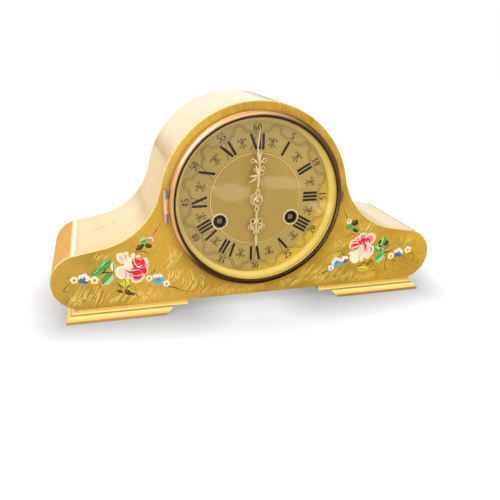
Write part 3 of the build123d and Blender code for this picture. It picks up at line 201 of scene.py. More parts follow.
# pairs, here and below: a noise is a scale and its detail, a bump a depth and a strength,
# a level or a roughness a middle value and its swing, and the others where a change starts and ends
bandLacquer = {
    # this gold is paler than the front panel's: painted light from above on the band's upper faces
    "gold": tint(246, 205, 114), "deep": tint(240, 196, 102), "cloudNoise": (0.02, 3),
    "cloudRange": (0.38, 0.66), "flakeNoise": (1.3, 2), "lineStretch": (1.4, 60, 1.4),
    # the colour of the ends is painted shade round the two rounded ends
    "lineLevel": (0.99, 0.10), "ends": tint(226, 164, 58), "shadedEndsFrom": (167.3, 169.8), "endDulling": 0.2,
    # the ridge colour is a painted highlight where the shoulder meets the rounded ends
    "ridge": tint(255, 246, 214), "ridgeAt": (165.5, 166.5), "ridgeSoft": 1.6, "ridgeFoot": (54, 58),
    "seamAt": (162.3, 163.1), "seamSoft": 1.0, "seamStrength": 0.4,
    "scuff": tint(176, 152, 112), "scuffAt": (-128, 11), "scuffBend": 0.0153, "scuffWidth": (0.6, 2.6),
    "scuffSpan": (-160, -122), "scuffSoft": 3, "scuffStretch": (0.5, 1, 1), "scuffNoise": (0.12, 2),
    "scuffRange": (0.42, 0.56), "scuffStrength": 0.6,
    "metal": 0.15, "roughness": (0.34, 0.16), "bump": (0.05, 0.25),
    "coat": 1.0, "endCoat": 0.0, "coatRoughness": 0.12, "coatIor": 1.6,
}


def bandGround(finish, values, at):
    # paler gold on top as painted light from above, deeper gold round the two rounded ends as painted shade,
    # a painted highlight along the ridge between
    x, y, z = finish.split(at)
    cloud = finish.noise(at, *values["cloudNoise"])
    lines = finish.noise(finish.stretched(at, 0, values["lineStretch"]))
    reach = abs(x - dialX)
    # painted highlight along the ridge
    ridge = reach.band(*values["ridgeAt"], values["ridgeSoft"]) * z.between(*values["ridgeFoot"])
    # painted shade on the two rounded ends
    ends = reach.between(*values["shadedEndsFrom"])
    seam = reach.band(*values["seamAt"], values["seamSoft"]) * values["seamStrength"]
    ground = finish.mix(cloud.between(*values["cloudRange"]), values["gold"], values["deep"])
    ground = finish.mix(ends.math("MAXIMUM", seam), ground, values["ends"])
    ground = finish.mix(ridge, ground, values["ridge"])
    # a faint scuff on the left shoulder
    scuffX, scuffY = values["scuffAt"]
    bend = (x - scuffX) * (x - scuffX) * values["scuffBend"]
    broken = finish.noise(finish.stretched(at, 0, values["scuffStretch"]), *values["scuffNoise"])
    scuff = x.band(*values["scuffSpan"], values["scuffSoft"]) * broken.between(*values["scuffRange"])
    scuff = scuff * (1 - abs(y + bend - scuffY).between(*values["scuffWidth"]))
    ground = finish.mix(scuff * values["scuffStrength"], ground, values["scuff"])
    shine = values["coat"] - ends * (values["coat"] - values["endCoat"])
    return finish.darken(ground, lines.about(*values["lineLevel"])), lines, shine, ends


def makeBandLacquer(values):
    # the lacquer on the bent band, with faint lines along the bend
    finish = Finish("band_gold_lacquer")
    at = finish.points()
    flake = finish.noise(at, *values["flakeNoise"])
    colour, lines, shine, ends = bandGround(finish, values, at)
    return finish.close({
        "Base Color": colour, "Metallic": values["metal"],
        "Roughness": flake.about(*values["roughness"]) + ends * values["endDulling"],
        "Coat Weight": shine, "Coat Roughness": values["coatRoughness"], "Coat IOR": values["coatIor"],
    }, (lines + flake) * 0.5, *values["bump"])


frontLacquer = {
    "gold": tint(212, 165, 52), "deep": tint(190, 146, 38), "cloudNoise": (0.03, 3),
    "cloudRange": (0.38, 0.66), "flakeNoise": (0.85, 3), "flakeLevel": (1.0, 0.64),
    "hair": tint(240, 200, 100), "hairLean": 4, "hairStretch": (0.7, 8, 9), "hairRange": (0.54, 0.72),
    "hairStrength": 0.4, "archFrom": (82, 84), "archRise": (-10, 30), "archLeft": (-70, 0), "archHighlight": 0.3,
    # the edge colour is a painted highlight on the rounded edge
    "edge": tint(255, 226, 132), "edgeFacing": (0.75, 0.97), "edgeHighlightStrength": 0.8, "wallFacing": (0.08, 0.3),
    # painted shade and light: level at the far left, and what is gained towards the middle and the right
    "leftShadeLevel": 0.84, "middleFrom": (-185, -60), "middleLightGain": 0.19,
    "rightFrom": (60, 180), "rightLightGain": 0.12,
    "metal": 0.25, "roughness": (0.36, 0.16), "bump": (0.05, 0.3),
    "coat": 0.3, "coatRoughness": 0.15, "coatIor": 1.6,
}


def makeFrontLacquer(values):
    # gold lacquer with flake, fine upright hair lines along the arch with a painted highlight at its left, a
    # painted highlight on the rounded edge, painted shade to the left and painted light to the right
    finish = Finish("front_gold_lacquer")
    at = finish.points()
    x = finish.split(at)[0]
    across, up = finish.onDial(at)
    cloud = finish.noise(at, *values["cloudNoise"])
    flake = finish.noise(at, *values["flakeNoise"])
    upright = finish.stretched(at, radians(values["hairLean"]), values["hairStretch"])
    hairs = finish.noise(upright, detail=1.0).between(*values["hairRange"])
    arch = span(across, up).between(*values["archFrom"]) * up.between(*values["archRise"])
    facing = finish.facing()
    # painted highlight where the surface turns away from the front
    edge = 1 - facing.between(*values["edgeFacing"])
    wall = 1 - facing.between(*values["wallFacing"])
    ground = finish.mix(cloud.between(*values["cloudRange"]), values["gold"], values["deep"])
    # painted shade towards the left, painted light towards the middle and the right
    paintedLight = x.between(*values["middleFrom"]) * values["middleLightGain"]
    paintedLight = paintedLight + x.between(*values["rightFrom"]) * values["rightLightGain"] + values["leftShadeLevel"]
    ground = finish.darken(ground, flake.about(*values["flakeLevel"]) * paintedLight)
    # hair lines, and a painted highlight on the arch's left side
    pale = hairs * values["hairStrength"] + (1 - x.between(*values["archLeft"])) * values["archHighlight"]
    ground = finish.mix(pale * arch, ground, values["hair"])
    ground = finish.mix(edge * values["edgeHighlightStrength"], ground, values["edge"])
    # the panel's rim is seen from above and looks like the band behind it, so it takes the band's colours
    # with their painted light and shade
    side, lines, shine, ends = bandGround(finish, bandLacquer, at)
    return finish.close({
        "Base Color": finish.mix(wall, ground, side), "Metallic": values["metal"],
        "Roughness": flake.about(*values["roughness"]),
        "Coat Weight": wall * (shine - values["coat"]) + values["coat"],
        "Coat Roughness": values["coatRoughness"], "Coat IOR": values["coatIor"],
    }, (hairs * arch + flake) * 0.5, *values["bump"])


footLacquer = {
    # the bright colour is a painted highlight on the mouldings' upper edges
    "gold": tint(226, 172, 66), "bright": tint(246, 224, 128), "flare": tint(238, 194, 92),
    "toe": tint(210, 152, 66), "flakeNoise": (1.1, 2), "flakeLevel": (1.0, 0.16),
    # this brown is painted shade in the groove and near the ground, and wear in spots
    "wearAndShade": tint(178, 118, 40), "wornNoise": (0.12, 3), "wornRange": (0.60, 0.74), "wornSpots": 0.15,
    "grooveShade": 0.8,
    # heights above the ground
    "hem": (0.1, 1.0), "toeTop": (2.6, 3.4), "flareLip": (5.4, 7.6), "lipSoft": 1.6,
    "groove": (7.3, 8.1), "grooveSoft": 0.35, "plinth": (8.2, 8.5), "plinthTop": (9.2, 10.6),
    "metal": 0.2, "roughness": (0.3, 0.14), "bump": (0.04, 0.25), "coat": 0.4, "coatRoughness": 0.14,
}


def makeFootLacquer(values):
    # gold lacquer, with a painted highlight along the mouldings' upper edges, painted shade in the groove and
    # near the ground, and wear in spots
    finish = Finish("foot_gold_lacquer")
    at = finish.points()
    z = finish.split(at)[2]
    flake = finish.noise(at, *values["flakeNoise"])
    wear = finish.noise(at, *values["wornNoise"]).between(*values["wornRange"])
    groove = z.band(*values["groove"], values["grooveSoft"])
    hem = 1 - z.between(*values["hem"])
    colour = finish.mix(z.between(*values["toeTop"]), values["toe"], values["flare"])
    # painted highlight along the mouldings' upper edges
    colour = finish.mix(z.band(*values["flareLip"], values["lipSoft"]), colour, values["bright"])
    colour = finish.mix(z.between(*values["plinth"]), colour, values["bright"])
    colour = finish.mix(z.between(*values["plinthTop"]), colour, values["gold"])
    # painted shade in the groove and at the hem, with wear in spots
    shade = groove.math("MAXIMUM", hem) * values["grooveShade"] + wear * values["wornSpots"]
    colour = finish.mix(shade, colour, values["wearAndShade"])
    return finish.close({
        "Base Color": finish.darken(colour, flake.about(*values["flakeLevel"])), "Metallic": values["metal"],
        "Roughness": flake.about(*values["roughness"]),
        "Coat Weight": values["coat"], "Coat Roughness": values["coatRoughness"],
    }, flake, *values["bump"])


bezelBrass = {
    # the dark colour is painted shade in the cove outside the lip
    "brass": tint(226, 174, 114), "inner": tint(255, 240, 150), "dark": tint(58, 33, 8),
    # the tarnish colour is painted shade on the lower half, the crest colour a painted highlight
    "tarnish": tint(84, 52, 20), "lowShadeStrength": 0.9, "crest": tint(244, 206, 172),
    "smearNoise": (0.15, 3), "smearLevel": (0.99, 0.14), "turning": 6,
    # distances from the dial's axis
    "lip": (75.5, 75.6), "shadeLine": (76.0, 77.8), "shadeSoft": 0.12, "lowShadeFrom": (76.8, 77.2),
    "brassFrom": (77.0, 77.4), "crestLine": (79.2, 79.9), "crestSoft": 0.5,
    # where the painted crest highlight fades on the way to the lower right, and the painted shade below on
    # the way up
    "crestFade": (-50, 20), "lowShadeFade": (-58, -30),
    "shadeMetalLoss": 0.9, "lipMetalLoss": 0.6, "roughness": (0.17, 0.10), "shadeRoughness": 0.15,
    "bump": (0.01, 0.2),
}


def makeBezelBrass(values):
    # rosy polished brass with a painted highlight along its crest and painted shade below, a yellower lip
    # round the glass and a dark line of painted shade outside it
    finish = Finish("bezel_brass")
    at = finish.points()
    across, up = finish.onDial(at)
    away = span(across, up)
    # painted shade in the cove
    dark = away.band(*values["shadeLine"], values["shadeSoft"])
    smear = finish.noise(at, *values["smearNoise"])
    brass = finish.mix(away.between(*values["brassFrom"]), values["inner"], values["brass"])
    # painted highlight along the crest, fading towards the lower right
    crest = away.band(*values["crestLine"], values["crestSoft"])
    crest = crest * (1 - downRight(across, up).between(*values["crestFade"]))
    brass = finish.mix(crest, brass, values["crest"])
    # painted shade on the lower half
    low = (1 - up.between(*values["lowShadeFade"])) * away.between(*values["lowShadeFrom"])
    brass = finish.mix(low * values["lowShadeStrength"], brass, values["tarnish"])
    brass = finish.darken(brass, smear.about(*values["smearLevel"]))
    lip = 1 - away.between(*values["lip"])
    return finish.close({
        "Base Color": finish.mix(dark, brass, values["dark"]),
        "Metallic": 1 - dark * values["shadeMetalLoss"] - lip * values["lipMetalLoss"],
        "Roughness": smear.about(*values["roughness"]) + dark * values["shadeRoughness"],
    }, finish.turning(away, values["turning"]), *values["bump"])


sightBrass = {
    # the lower right takes painted light, the upper left painted shade
    "bright": tint(255, 222, 104), "shaded": tint(214, 186, 112), "litSideFrom": (-40, 45),
    # the streak is a painted highlight round the ring's middle
    "streakHighlight": tint(255, 234, 142), "streakAt": (73.2, 74.0), "streakSoft": 0.6, "streakStrength": 0.8,
    "turning": 5, "turnedLevel": (0.99, 0.1), "roughness": (0.26, 0.1), "bump": (0.01, 0.2),
}


def makeSightBrass(values):
    # pale cone: painted shade at the upper left, painted light at the lower right, with a painted highlight
    # streak round its middle
    finish = Finish("sight_brass")
    across, up = finish.onDial(finish.points())
    away = span(across, up)
    # painted light towards the lower right
    litSide = downRight(across, up).between(*values["litSideFrom"])
    # painted highlight round the middle
    streakHighlight = away.band(*values["streakAt"], values["streakSoft"])
    turned = finish.turning(away, values["turning"])
    colour = finish.mix(litSide, values["shaded"], values["bright"])
    colour = finish.mix(streakHighlight * litSide * values["streakStrength"], colour, values["streakHighlight"])
    return finish.close({
        "Base Color": finish.darken(colour, turned.about(*values["turnedLevel"])),
        "Roughness": turned.about(*values["roughness"]),
    }, turned, *values["bump"])


hingeBrass = {"brass": tint(248, 204, 158), "metal": 0.5, "roughness": 0.2, "grain": 0.6}
polishedBrass = {"brass": tint(253, 222, 128), "metal": 1.0, "roughness": 0.16, "grain": 0.6}
satinBrass = {"brass": tint(214, 176, 98), "metal": 1.0, "roughness": 0.32, "grain": 0.6}
bellBrass = {"brass": tint(200, 166, 102), "metal": 1.0, "roughness": 0.2, "grain": 0.3}


def makeBrass(name, values):
    # brass with fine turning lines and a little tarnish
    finish = Finish(name)
    at = finish.points()
    lines = finish.noise(finish.stretched(at, 0, (0.5, 9, 0.5)), values["grain"], 3)
    tarnish = finish.noise(at, 0.09, 3)
    return finish.close({
        "Base Color": finish.darken(values["brass"], lines * 0.14 + tarnish * 0.10 + 0.86),
        "Metallic": values["metal"],
        "Roughness": tarnish.between(0.45, 0.75) * 0.12 + lines * 0.06 + (values["roughness"] - 0.04),
    }, lines, 0.008, 0.3)


ferruleBrass = {
    "brass": tint(255, 240, 186), "shade": tint(112, 86, 46), "lip": (6.3, 6.6), "rubNoise": (0.9, 2),
    "rubLevel": (0.98, 0.16), "metal": 0.3, "roughness": (0.25, 0.12), "bump": (0.01, 0.3),
}


def makeFerruleBrass(values):
    # pale brass eyelets of the two winding holes, with painted shade on the inner lip
    finish = Finish("ferrule_brass")
    at = finish.points()
    across, up = finish.onDial(at)
    away = span(abs(across) - holeAside, up - (holeZ - dialZ))
    rub = finish.noise(at, *values["rubNoise"])
    # inside this rim the inner lip takes painted shade
    rim = away.between(*values["lip"])
    brass = finish.darken(values["brass"], rub.about(*values["rubLevel"]))
    return finish.close({
        "Base Color": finish.mix(rim, values["shade"], brass),
        "Metallic": rim * values["metal"], "Roughness": rub.about(*values["roughness"]),
    }, rub, *values["bump"])


nutBrass = {
    "brass": tint(250, 214, 150), "rubNoise": (0.9, 3), "rubLevel": (0.96, 0.2),
    "groove": tint(96, 62, 24), "grooveAt": (2.25, 2.65), "grooveSoft": 0.25,
    "metal": 0.6, "grooveMetal": 0.2, "roughness": (0.2, 0.12), "bump": (0.1, 0.6),
}


def makeNutBrass(values):
    # turned nut with a groove round its dome, darkened with painted shade
    finish = Finish("nut_brass")
    at = finish.points()
    # groove mask: bumped in and given painted shade
    groove = span(*finish.onDial(at)).band(*values["grooveAt"], values["grooveSoft"])
    rub = finish.noise(at, *values["rubNoise"])
    brass = finish.darken(values["brass"], rub.about(*values["rubLevel"]))
    return finish.close({
        "Base Color": finish.mix(groove, brass, values["groove"]),
        "Metallic": values["metal"] - groove * (values["metal"] - values["grooveMetal"]),
        "Roughness": rub.about(*values["roughness"]),
    }, rub * 0.1 - groove, *values["bump"])


brightSteel = {"steel": tint(172, 172, 176), "metal": 1.0, "roughness": 0.28}
darkSteel = {"steel": tint(146, 128, 88), "metal": 0.4, "roughness": 0.3}
hingeSilver = {"steel": tint(232, 212, 208), "metal": 1.0, "roughness": 0.26}


def makeSteel(name, values):
    # drawn steel with fine lines and faint stains
    finish = Finish(name)
    at = finish.points()
    lines = finish.noise(finish.stretched(at, 0, (0.3, 6, 0.3)), 0.8, 3)
    stain = finish.noise(at, 0.12, 3)
    return finish.close({
        "Base Color": finish.darken(values["steel"], lines * 0.16 + stain * 0.12 + 0.82),
        "Metallic": values["metal"],
        "Roughness": stain * 0.14 + lines * 0.08 + (values["roughness"] - 0.1),
    }, lines, 0.008, 0.3)


dialGold = {
    "ring": tint(199, 170, 92), "middle": tint(197, 162, 80), "line": 43.6, "rim": 70.6,
    "grainStretch": (0.5, 5, 7), "grain": 0.08, "cloudNoise": (0.05, 3), "cloud": 0.12,
    # the warm colour at the lower right is a painted glow of light thrown from the sight ring
    "paintedGlow": tint(252, 204, 60), "glowRing": (56, 70), "glowSide": (34, 62), "glowStrength": 0.8,
    "shadeSide": (-70, 20), "shadeLevel": 0.88, "shadeGain": 0.14,
    "metal": 0.3, "roughness": (0.42, 0.1), "bump": (0.12, 0.5),
}


def makeDialGold(values):
    # satin gold plate: browner middle, raised line round it, turned edge, a painted glow at the lower right
    # for light thrown from the sight ring, painted shade towards the upper left
    finish = Finish("dial_satin_gold")
    at = finish.points()
    across, up = finish.onDial(at)
    away = span(across, up)
    aslant = across * 0.8 - up * 0.6
    grain = finish.noise(finish.stretched(at, 0, values["grainStretch"]))
    cloud = finish.noise(at, *values["cloudNoise"])
    inside = 1 - away.between(values["line"] - 0.3, values["line"])
    raised = away.band(values["line"] - 0.1, values["line"] + 0.1, 0.25)
    edge = away.band(values["rim"] - 0.1, values["rim"] + 0.1, 0.25)
    # painted glow at the lower right
    paintedGlow = away.between(*values["glowRing"]) * aslant.between(*values["glowSide"])
    # painted shade towards the upper left
    light = aslant.between(*values["shadeSide"]) * values["shadeGain"] + values["shadeLevel"]
    light = light * (grain * values["grain"] + cloud * values["cloud"] + 0.90)
    colour = finish.mix(inside, values["ring"], values["middle"])
    colour = finish.mix(paintedGlow * values["glowStrength"], colour, values["paintedGlow"])
    return finish.close({
        "Base Color": finish.darken(colour, light),
        "Metallic": values["metal"], "Roughness": grain.about(*values["roughness"]),
    }, grain * 0.02 + raised + edge * 0.6, *values["bump"])


handGilt = {
    "gilt": tint(255, 230, 168), "shade": tint(198, 152, 84), "dustNoise": (1.2, 3),
    # the edge colour is painted shade on the hands' side walls
    "dustRange": (0.48, 0.72), "edge": tint(92, 66, 24), "edgeFacing": (0.25, 0.6),
    "metal": 0.35, "roughness": (0.3, 0.16), "bump": (0.02, 0.3),
}


def makeHandGilt(values):
    # gilt faces, dark edges of painted shade
    finish = Finish("hand_gilt")
    dust = finish.noise(finish.points(), *values["dustNoise"])
    gilt = finish.mix(dust.between(*values["dustRange"]), values["gilt"], values["shade"])
    return finish.close({
        "Base Color": finish.mix(finish.facing().between(*values["edgeFacing"]), values["edge"], gilt),
        "Metallic": values["metal"], "Roughness": dust.about(*values["roughness"]),
    }, dust, *values["bump"])


stainedWood = {
    "pale": tint(150, 104, 62), "dark": tint(104, 64, 34), "ringStretch": (120, 12, 5),
    "ringRange": (0.35, 0.65), "poreStretch": (14, 2, 0.5), "poreLevel": (0.98, 0.32),
    "roughness": (0.495, 0.15), "bump": (0.08, 0.4), "coat": 0.15, "coatRoughness": 0.3,
}


def makeStainedWood(values):
    # straight-grained stained board
    finish = Finish("stained_wood")
    at = finish.points()
    rings = finish.noise(finish.stretched(at, 0, values["ringStretch"]), detail=4, wander=0.6)
    pores = finish.noise(finish.stretched(at, 0, values["poreStretch"]))
    colour = finish.mix(rings.between(*values["ringRange"]), values["pale"], values["dark"])
    return finish.close({
        "Base Color": finish.darken(colour, pores.about(*values["poreLevel"])),
        "Roughness": rings.about(*values["roughness"]),
        "Coat Weight": values["coat"], "Coat Roughness": values["coatRoughness"],
    }, pores * 0.6 + rings * 0.4, *values["bump"])


clearGlass = {"tint": (0.995, 0.998, 0.995, 1), "roughness": 0.03, "straight": 0.03, "grazing": 0.85}


def makeClearGlass(values):
    # see-through apart from its own reflections, which grow towards the rim
    finish = Finish("clear_glass")
    slant = finish.node("ShaderNodeLayerWeight", {}, {"Blend": 0.5}, 1).math("POWER", 5.0)
    edge = slant * (values["grazing"] - values["straight"]) + values["straight"]
    mirror = {"Base Color": (1, 1, 1, 1), "Metallic": 1.0, "Roughness": values["roughness"]}
    shine = finish.node("ShaderNodeBsdfPrincipled", {}, mirror)
    clear = finish.node("ShaderNodeBsdfTransparent", {}, {"Color": values["tint"]})
    pane = finish.node("ShaderNodeMixShader", {}, {0: edge, 1: clear, 2: shine})
    finish.node("ShaderNodeOutputMaterial", {}, {"Surface": pane})
    return finish.owner


gilt = makeHandGilt(handGilt)
bySlot = {
    "plain_wood": makeStainedWood(stainedWood), "steel": makeSteel("bright_steel", brightSteel),
    "movement_brass": makeBrass("movement_brass", satinBrass),
    "bell_metal": makeBrass("bell_metal", bellBrass), "gilt_hands": gilt,
}
for subpart in frame["record"]["subparts"]:
    if subpart["material_slot"] in bySlot:
        dress(bySlot[subpart["material_slot"]], subpart["node"])
dress(makeFrontLacquer(frontLacquer), "front_panel")
dress(makeBandLacquer(bandLacquer), "case_band")
dress(makeFootLacquer(footLacquer), "left_foot", "right_foot")
dress(makeBezelBrass(bezelBrass), "bezel_ring", "bezel_thumb_tab")
dress(makeBrass("hinge_brass", hingeBrass), "bezel_hinge_knuckle")
dress(makeSteel("hinge_silver", hingeSilver), "bezel_hinge_leaf")
dress(makeDialGold(dialGold), "dial_plate")
dress(makeClearGlass(clearGlass), "bezel_glass")
dress(makeSightBrass(sightBrass), "sight_ring")
dress(makeBrass("polished_brass", polishedBrass), "rear_hinge_leaves", "rear_door_leaves", "rear_door_knob")
dress(makeFerruleBrass(ferruleBrass), "winding_hole_ferrules")
dress(makeNutBrass(nutBrass), "hand_nut")
dress(makeSteel("dark_steel", darkSteel), "time_winding_arbor", "strike_winding_arbor")
print("finishes on all CAD nodes")


class Ink:
    # flat painted shapes on a face that is turned to the front, in millimetres
    def __init__(self, face, base=0.02, step=0.008):
        self.face = face
        self.base = base
        self.step = step
        self.spots = []
        self.faces = []
        self.tints = []

    def put(self, places, level, colour):
        first = len(self.spots)
        depth = self.face - self.base - self.step * level
        self.spots += [(x * mm, depth * mm, z * mm) for x, z in places]
        self.tints += [colour] * len(places)
        return range(first, first + len(places))

    def bridge(self, outer, inner):
        # faces between two closed rings of equal count
        for index in range(len(outer)):
            following = (index + 1) % len(outer)
            self.faces.append((outer[index], outer[following], inner[following], inner[index]))

    def fill(self, rings, level, colours):
        # nested rings of equal count, from the outermost to the one that is closed in the middle
        made = [self.put(ring, level, colour) for ring, colour in zip(rings, colours)]
        for outer, inner in zip(made, made[1:]):
            self.bridge(outer, inner)
        self.faces.append(tuple(made[-1]))

    def ribbon(self, line, level, colour, closed=False):
        # line of x, z and width
        count = len(line)
        left, right = [], []
        for index, (x, z, width) in enumerate(line):
            before = line[(index - 1) % count if closed else max(index - 1, 0)]
            after = line[(index + 1) % count if closed else min(index + 1, count - 1)]
            run = hypot(after[0] - before[0], after[1] - before[1]) or 1
            aside = ((after[1] - before[1]) / run * width / 2, (before[0] - after[0]) / run * width / 2)
            left.append((x - aside[0], z - aside[1]))
            right.append((x + aside[0], z + aside[1]))
        near, far = self.put(left, level, colour), self.put(right, level, colour)
        for index in range(count if closed else count - 1):
            following = (index + 1) % count
            self.faces.append((near[index], far[index], far[following], near[following]))

    def piece(self, name, body, material):
        mesh = bpy.data.meshes.new(name)
        mesh.from_pydata(self.spots, [], self.faces)
        layer = mesh.color_attributes.new("tint", "FLOAT_COLOR", "POINT")
        layer.data.foreach_set("color", [level for colour in self.tints for level in colour])
        mesh.materials.append(material)
        made = bpy.data.objects.new(name, mesh)
        bpy.context.scene.collection.objects.link(made)
        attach(made, body)


def smoothLine(points, steps=6, closed=False):
    # curve through points of x, z and width
    count = len(points)
    line = []
    for index in range(count if closed else count - 1):
        around = range(index - 1, index + 3)
        ends = [points[near % count if closed else min(max(near, 0), count - 1)] for near in around]
        for step in range(steps):
            t = step / steps
            weights = (
                (-t + 2 * t ** 2 - t ** 3) / 2, (2 - 5 * t ** 2 + 3 * t ** 3) / 2,
                (t + 4 * t ** 2 - 3 * t ** 3) / 2, (t ** 3 - t ** 2) / 2,
            )
            line.append(tuple(sum(w * end[axis] for w, end in zip(weights, ends)) for axis in range(3)))
    return line if closed else line + [tuple(points[-1])]


def turnedAbout(centre, angle):
    # maps a point drawn upright to one turned clockwise about a centre
    def turn(x, z):
        return (centre[0] + x * cos(angle) + z * sin(angle), centre[1] - x * sin(angle) + z * cos(angle))
    return turn


def onCircle(radius, angle):
    # place on the dial, clockwise from twelve
    return (dialX + radius * sin(angle), dialZ + radius * cos(angle))


def makePaint(name, values):
    # brushed paint or ink in the colours that the mesh carries
    finish = Finish(name)
    colour = finish.node("ShaderNodeAttribute", {"attribute_name": "tint"})
    brush = finish.noise(finish.points(), 1.1, 3)
    return finish.close({
        "Base Color": finish.darken(colour, brush.about(0.99, 0.18)),
        "Roughness": brush.about(*values["roughness"]),
        "Coat Weight": values["coat"], "Coat Roughness": 0.15,
    }, brush, 0.03, 0.4)


dialPrint = {
    "black": tint(26, 18, 18), "brown": tint(66, 46, 22), "line": tint(62, 43, 18),
    "pale": tint(248, 222, 140), "romanInside": 46.3, "romanOutside": 60.0, "thick": 2.4, "thin": 0.42,
    "serif": 0.3, "romanGap": 1.1,
    "figures": tint(44, 30, 20), "minuteRadius": 66.2, "minuteHeight": 6.3, "minutePitch": 0.62,
    "penWeight": 1.35, "markRadius": 54.0, "markScale": 1.4, "arcadeGap": 1.6, "arcadeWidth": 0.38,
    # offset from the dial's raised line, and width; the pale gleam ring is a painted highlight along that
    # raised line
    "ringLine": (0.25, 0.32), "ringGleam": (-0.3, 0.5), "roughness": (0.45, 0.14), "coat": 0.0,
}
romanHours = ["XII", "I", "II", "III", "IIII", "V", "VI", "VII", "VIII", "IX", "X", "XI"]
letterWidth = {"I": 3.4, "V": 7.6, "X": 7.6}

# digits as pen strokes in a box one high: points of x, z and pen width
digitStrokes = {
    "1": [
        [(-0.15, 0.33, 0.05), (-0.02, 0.47, 0.08)], [(0, 0.5, 0.14), (0, -0.5, 0.14)],
        [(-0.16, -0.48, 0.05), (0.16, -0.48, 0.05)],
    ],
    "2": [
        [(-0.21, 0.24, 0.13), (-0.12, 0.45, 0.07), (0.08, 0.47, 0.07), (0.21, 0.26, 0.15), (0.08, -0.05, 0.1),
         (-0.23, -0.42, 0.05)],
        [(-0.24, -0.44, 0.11), (0.26, -0.44, 0.11)],
    ],
    "3": [
        [(-0.21, 0.30, 0.11), (-0.04, 0.47, 0.06), (0.18, 0.28, 0.15), (0.0, 0.05, 0.05)],
        [(0.0, 0.05, 0.05), (0.21, -0.2, 0.16), (0.0, -0.47, 0.06), (-0.22, -0.31, 0.12)],
    ],
    "4": [
        [(0.1, 0.5, 0.06), (-0.28, -0.18, 0.06)], [(-0.28, -0.2, 0.07), (0.28, -0.2, 0.07)],
        [(0.1, 0.5, 0.15), (0.1, -0.5, 0.15)],
    ],
    "5": [
        [(-0.15, 0.44, 0.1), (0.22, 0.46, 0.1)], [(-0.15, 0.46, 0.05), (-0.19, 0.04, 0.05)],
        [(-0.19, 0.04, 0.05), (0.03, 0.13, 0.07), (0.21, -0.17, 0.16), (0.02, -0.47, 0.06),
         (-0.22, -0.33, 0.12)],
    ],
    "6": [
        [(0.18, 0.42, 0.1), (0.0, 0.46, 0.05), (-0.2, 0.1, 0.13), (-0.2, -0.22, 0.13), (0.0, -0.47, 0.06),
         (0.2, -0.2, 0.15), (0.02, 0.06, 0.06), (-0.17, -0.1, 0.05)],
    ],
}
zeroRings = ((0.27, 0.5), (0.09, 0.43))  # half breadth and half height, outside and inside

# half-hour mark: petal, tail and bar in its middle, then the petal and tail that stand on both sides
markStrokes = [
    [(0, 0.2, 0.5), (0, 1.9, 1.2), (0, 3.6, 0.2)],
    [(0, -0.2, 0.4), (0, -1.8, 0.8), (0, -3.6, 0.8), (0, -3.9, 0.2)],
    [(-1.5, 0, 0.5), (0, 0.05, 0.7), (1.5, 0, 0.5)],
]
markSides = [
    [(0.5, 0.3, 0.4), (1.2, 1.6, 0.7), (2.2, 2.2, 0.8), (2.8, 1.4, 0.8), (2.3, 0.9, 0.5)],
    [(0.5, -0.5, 0.4), (1.3, -1.8, 0.7), (2.1, -2.4, 0.8), (2.6, -2.0, 0.4)],
]

# half a sector of the arcaded line: degrees from the hour and distance from the dial's axis
arcadeHalf = [
    (0, 62.6), (4.4, 62.6), (5.8, 62.7), (6.8, 63.6), (7.8, 64.1), (8.8, 63.7), (9.7, 64.6), (10.0, 66.3),
    (11.2, 68.4), (13.0, 69.7), (15, 70.1),
]


def drawRoman(ink, values, hour):
    # thick and hairline strokes, feet towards the dial's centre
    turn = turnedAbout((dialX, dialZ), hour * pi / 6)
    low, high = values["romanInside"], values["romanOutside"]
    word = romanHours[hour]
    cursor = -sum(letterWidth[letter] for letter in word) / 2

    def stroke(footX, headX, width):
        ink.ribbon([(*turn(footX, low), width), (*turn(headX, high), width)], 1, values["black"])

    def serif(x, z, reach):
        ends = [(*turn(x + side * reach, z), values["serif"]) for side in (-1, 1)]
        ink.ribbon(ends, 2, values["black"])

    for letter in word:
        middle = cursor + letterWidth[letter] / 2
        half = letterWidth[letter] / 2 - values["romanGap"]
        if letter == "I":
            stroke(middle, middle, values["thick"])
            serif(middle, low, 1.35)
            serif(middle, high, 1.35)
        elif letter == "V":
            stroke(middle, middle - half, values["thick"])
            stroke(middle + 0.4, middle + half, values["thin"])
            serif(middle - half, high, 1.5)
            serif(middle + half, high, 1.1)
        else:
            stroke(middle + half, middle - half, values["thick"])
            stroke(middle - half, middle + half, values["thin"])
            for side in (-1, 1):
                serif(middle + side * half, low, 1.2)
                serif(middle + side * half, high, 1.2)
        cursor += letterWidth[letter]


def drawMinutes(ink, values, hour):
    # five-minute numbers; those below the middle stand with their heads to the centre
    angle = hour * pi / 6
    turn = turnedAbout(onCircle(values["minuteRadius"], angle), angle + pi if 4 <= hour <= 8 else angle)
    height = values["minuteHeight"]
    pen = height * values["penWeight"]
    text = str(hour * 5 or 60)
    for place, digit in enumerate(text):
        across = (place - (len(text) - 1) / 2) * values["minutePitch"] * height
        if digit == "0":
            corners = [step * pi / 12 for step in range(24)]
            rings = [
                [turn(across + wide * height * cos(at), tall * height * sin(at)) for at in corners]
                for wide, tall in zeroRings
            ]
            ink.bridge(*[ink.put(ring, 1, values["figures"]) for ring in rings])
            continue
        for level, points in enumerate(digitStrokes[digit]):
            placed = [(*turn(across + x * height, z * height), width * pen) for x, z, width in points]
            ink.ribbon(smoothLine(placed), 1 + level, values["figures"])


def drawHalfHour(ink, values, hour):
    # small lily mark between two hours: three petals, a bar and three tails
    angle = (hour + 0.5) * pi / 6
    turn = turnedAbout(onCircle(values["markRadius"], angle), angle)
    scale = values["markScale"]

    def pen(level, points, side=1):
        placed = [(*turn(side * x * scale, z * scale), width) for x, z, width in points]
        ink.ribbon(smoothLine(placed), level, values["brown"])

    for level, points in enumerate(markStrokes, 1):
        pen(level, points)
    for side in (-1, 1):
        for level, points in enumerate(markSides, 4):
            pen(level, points, side)


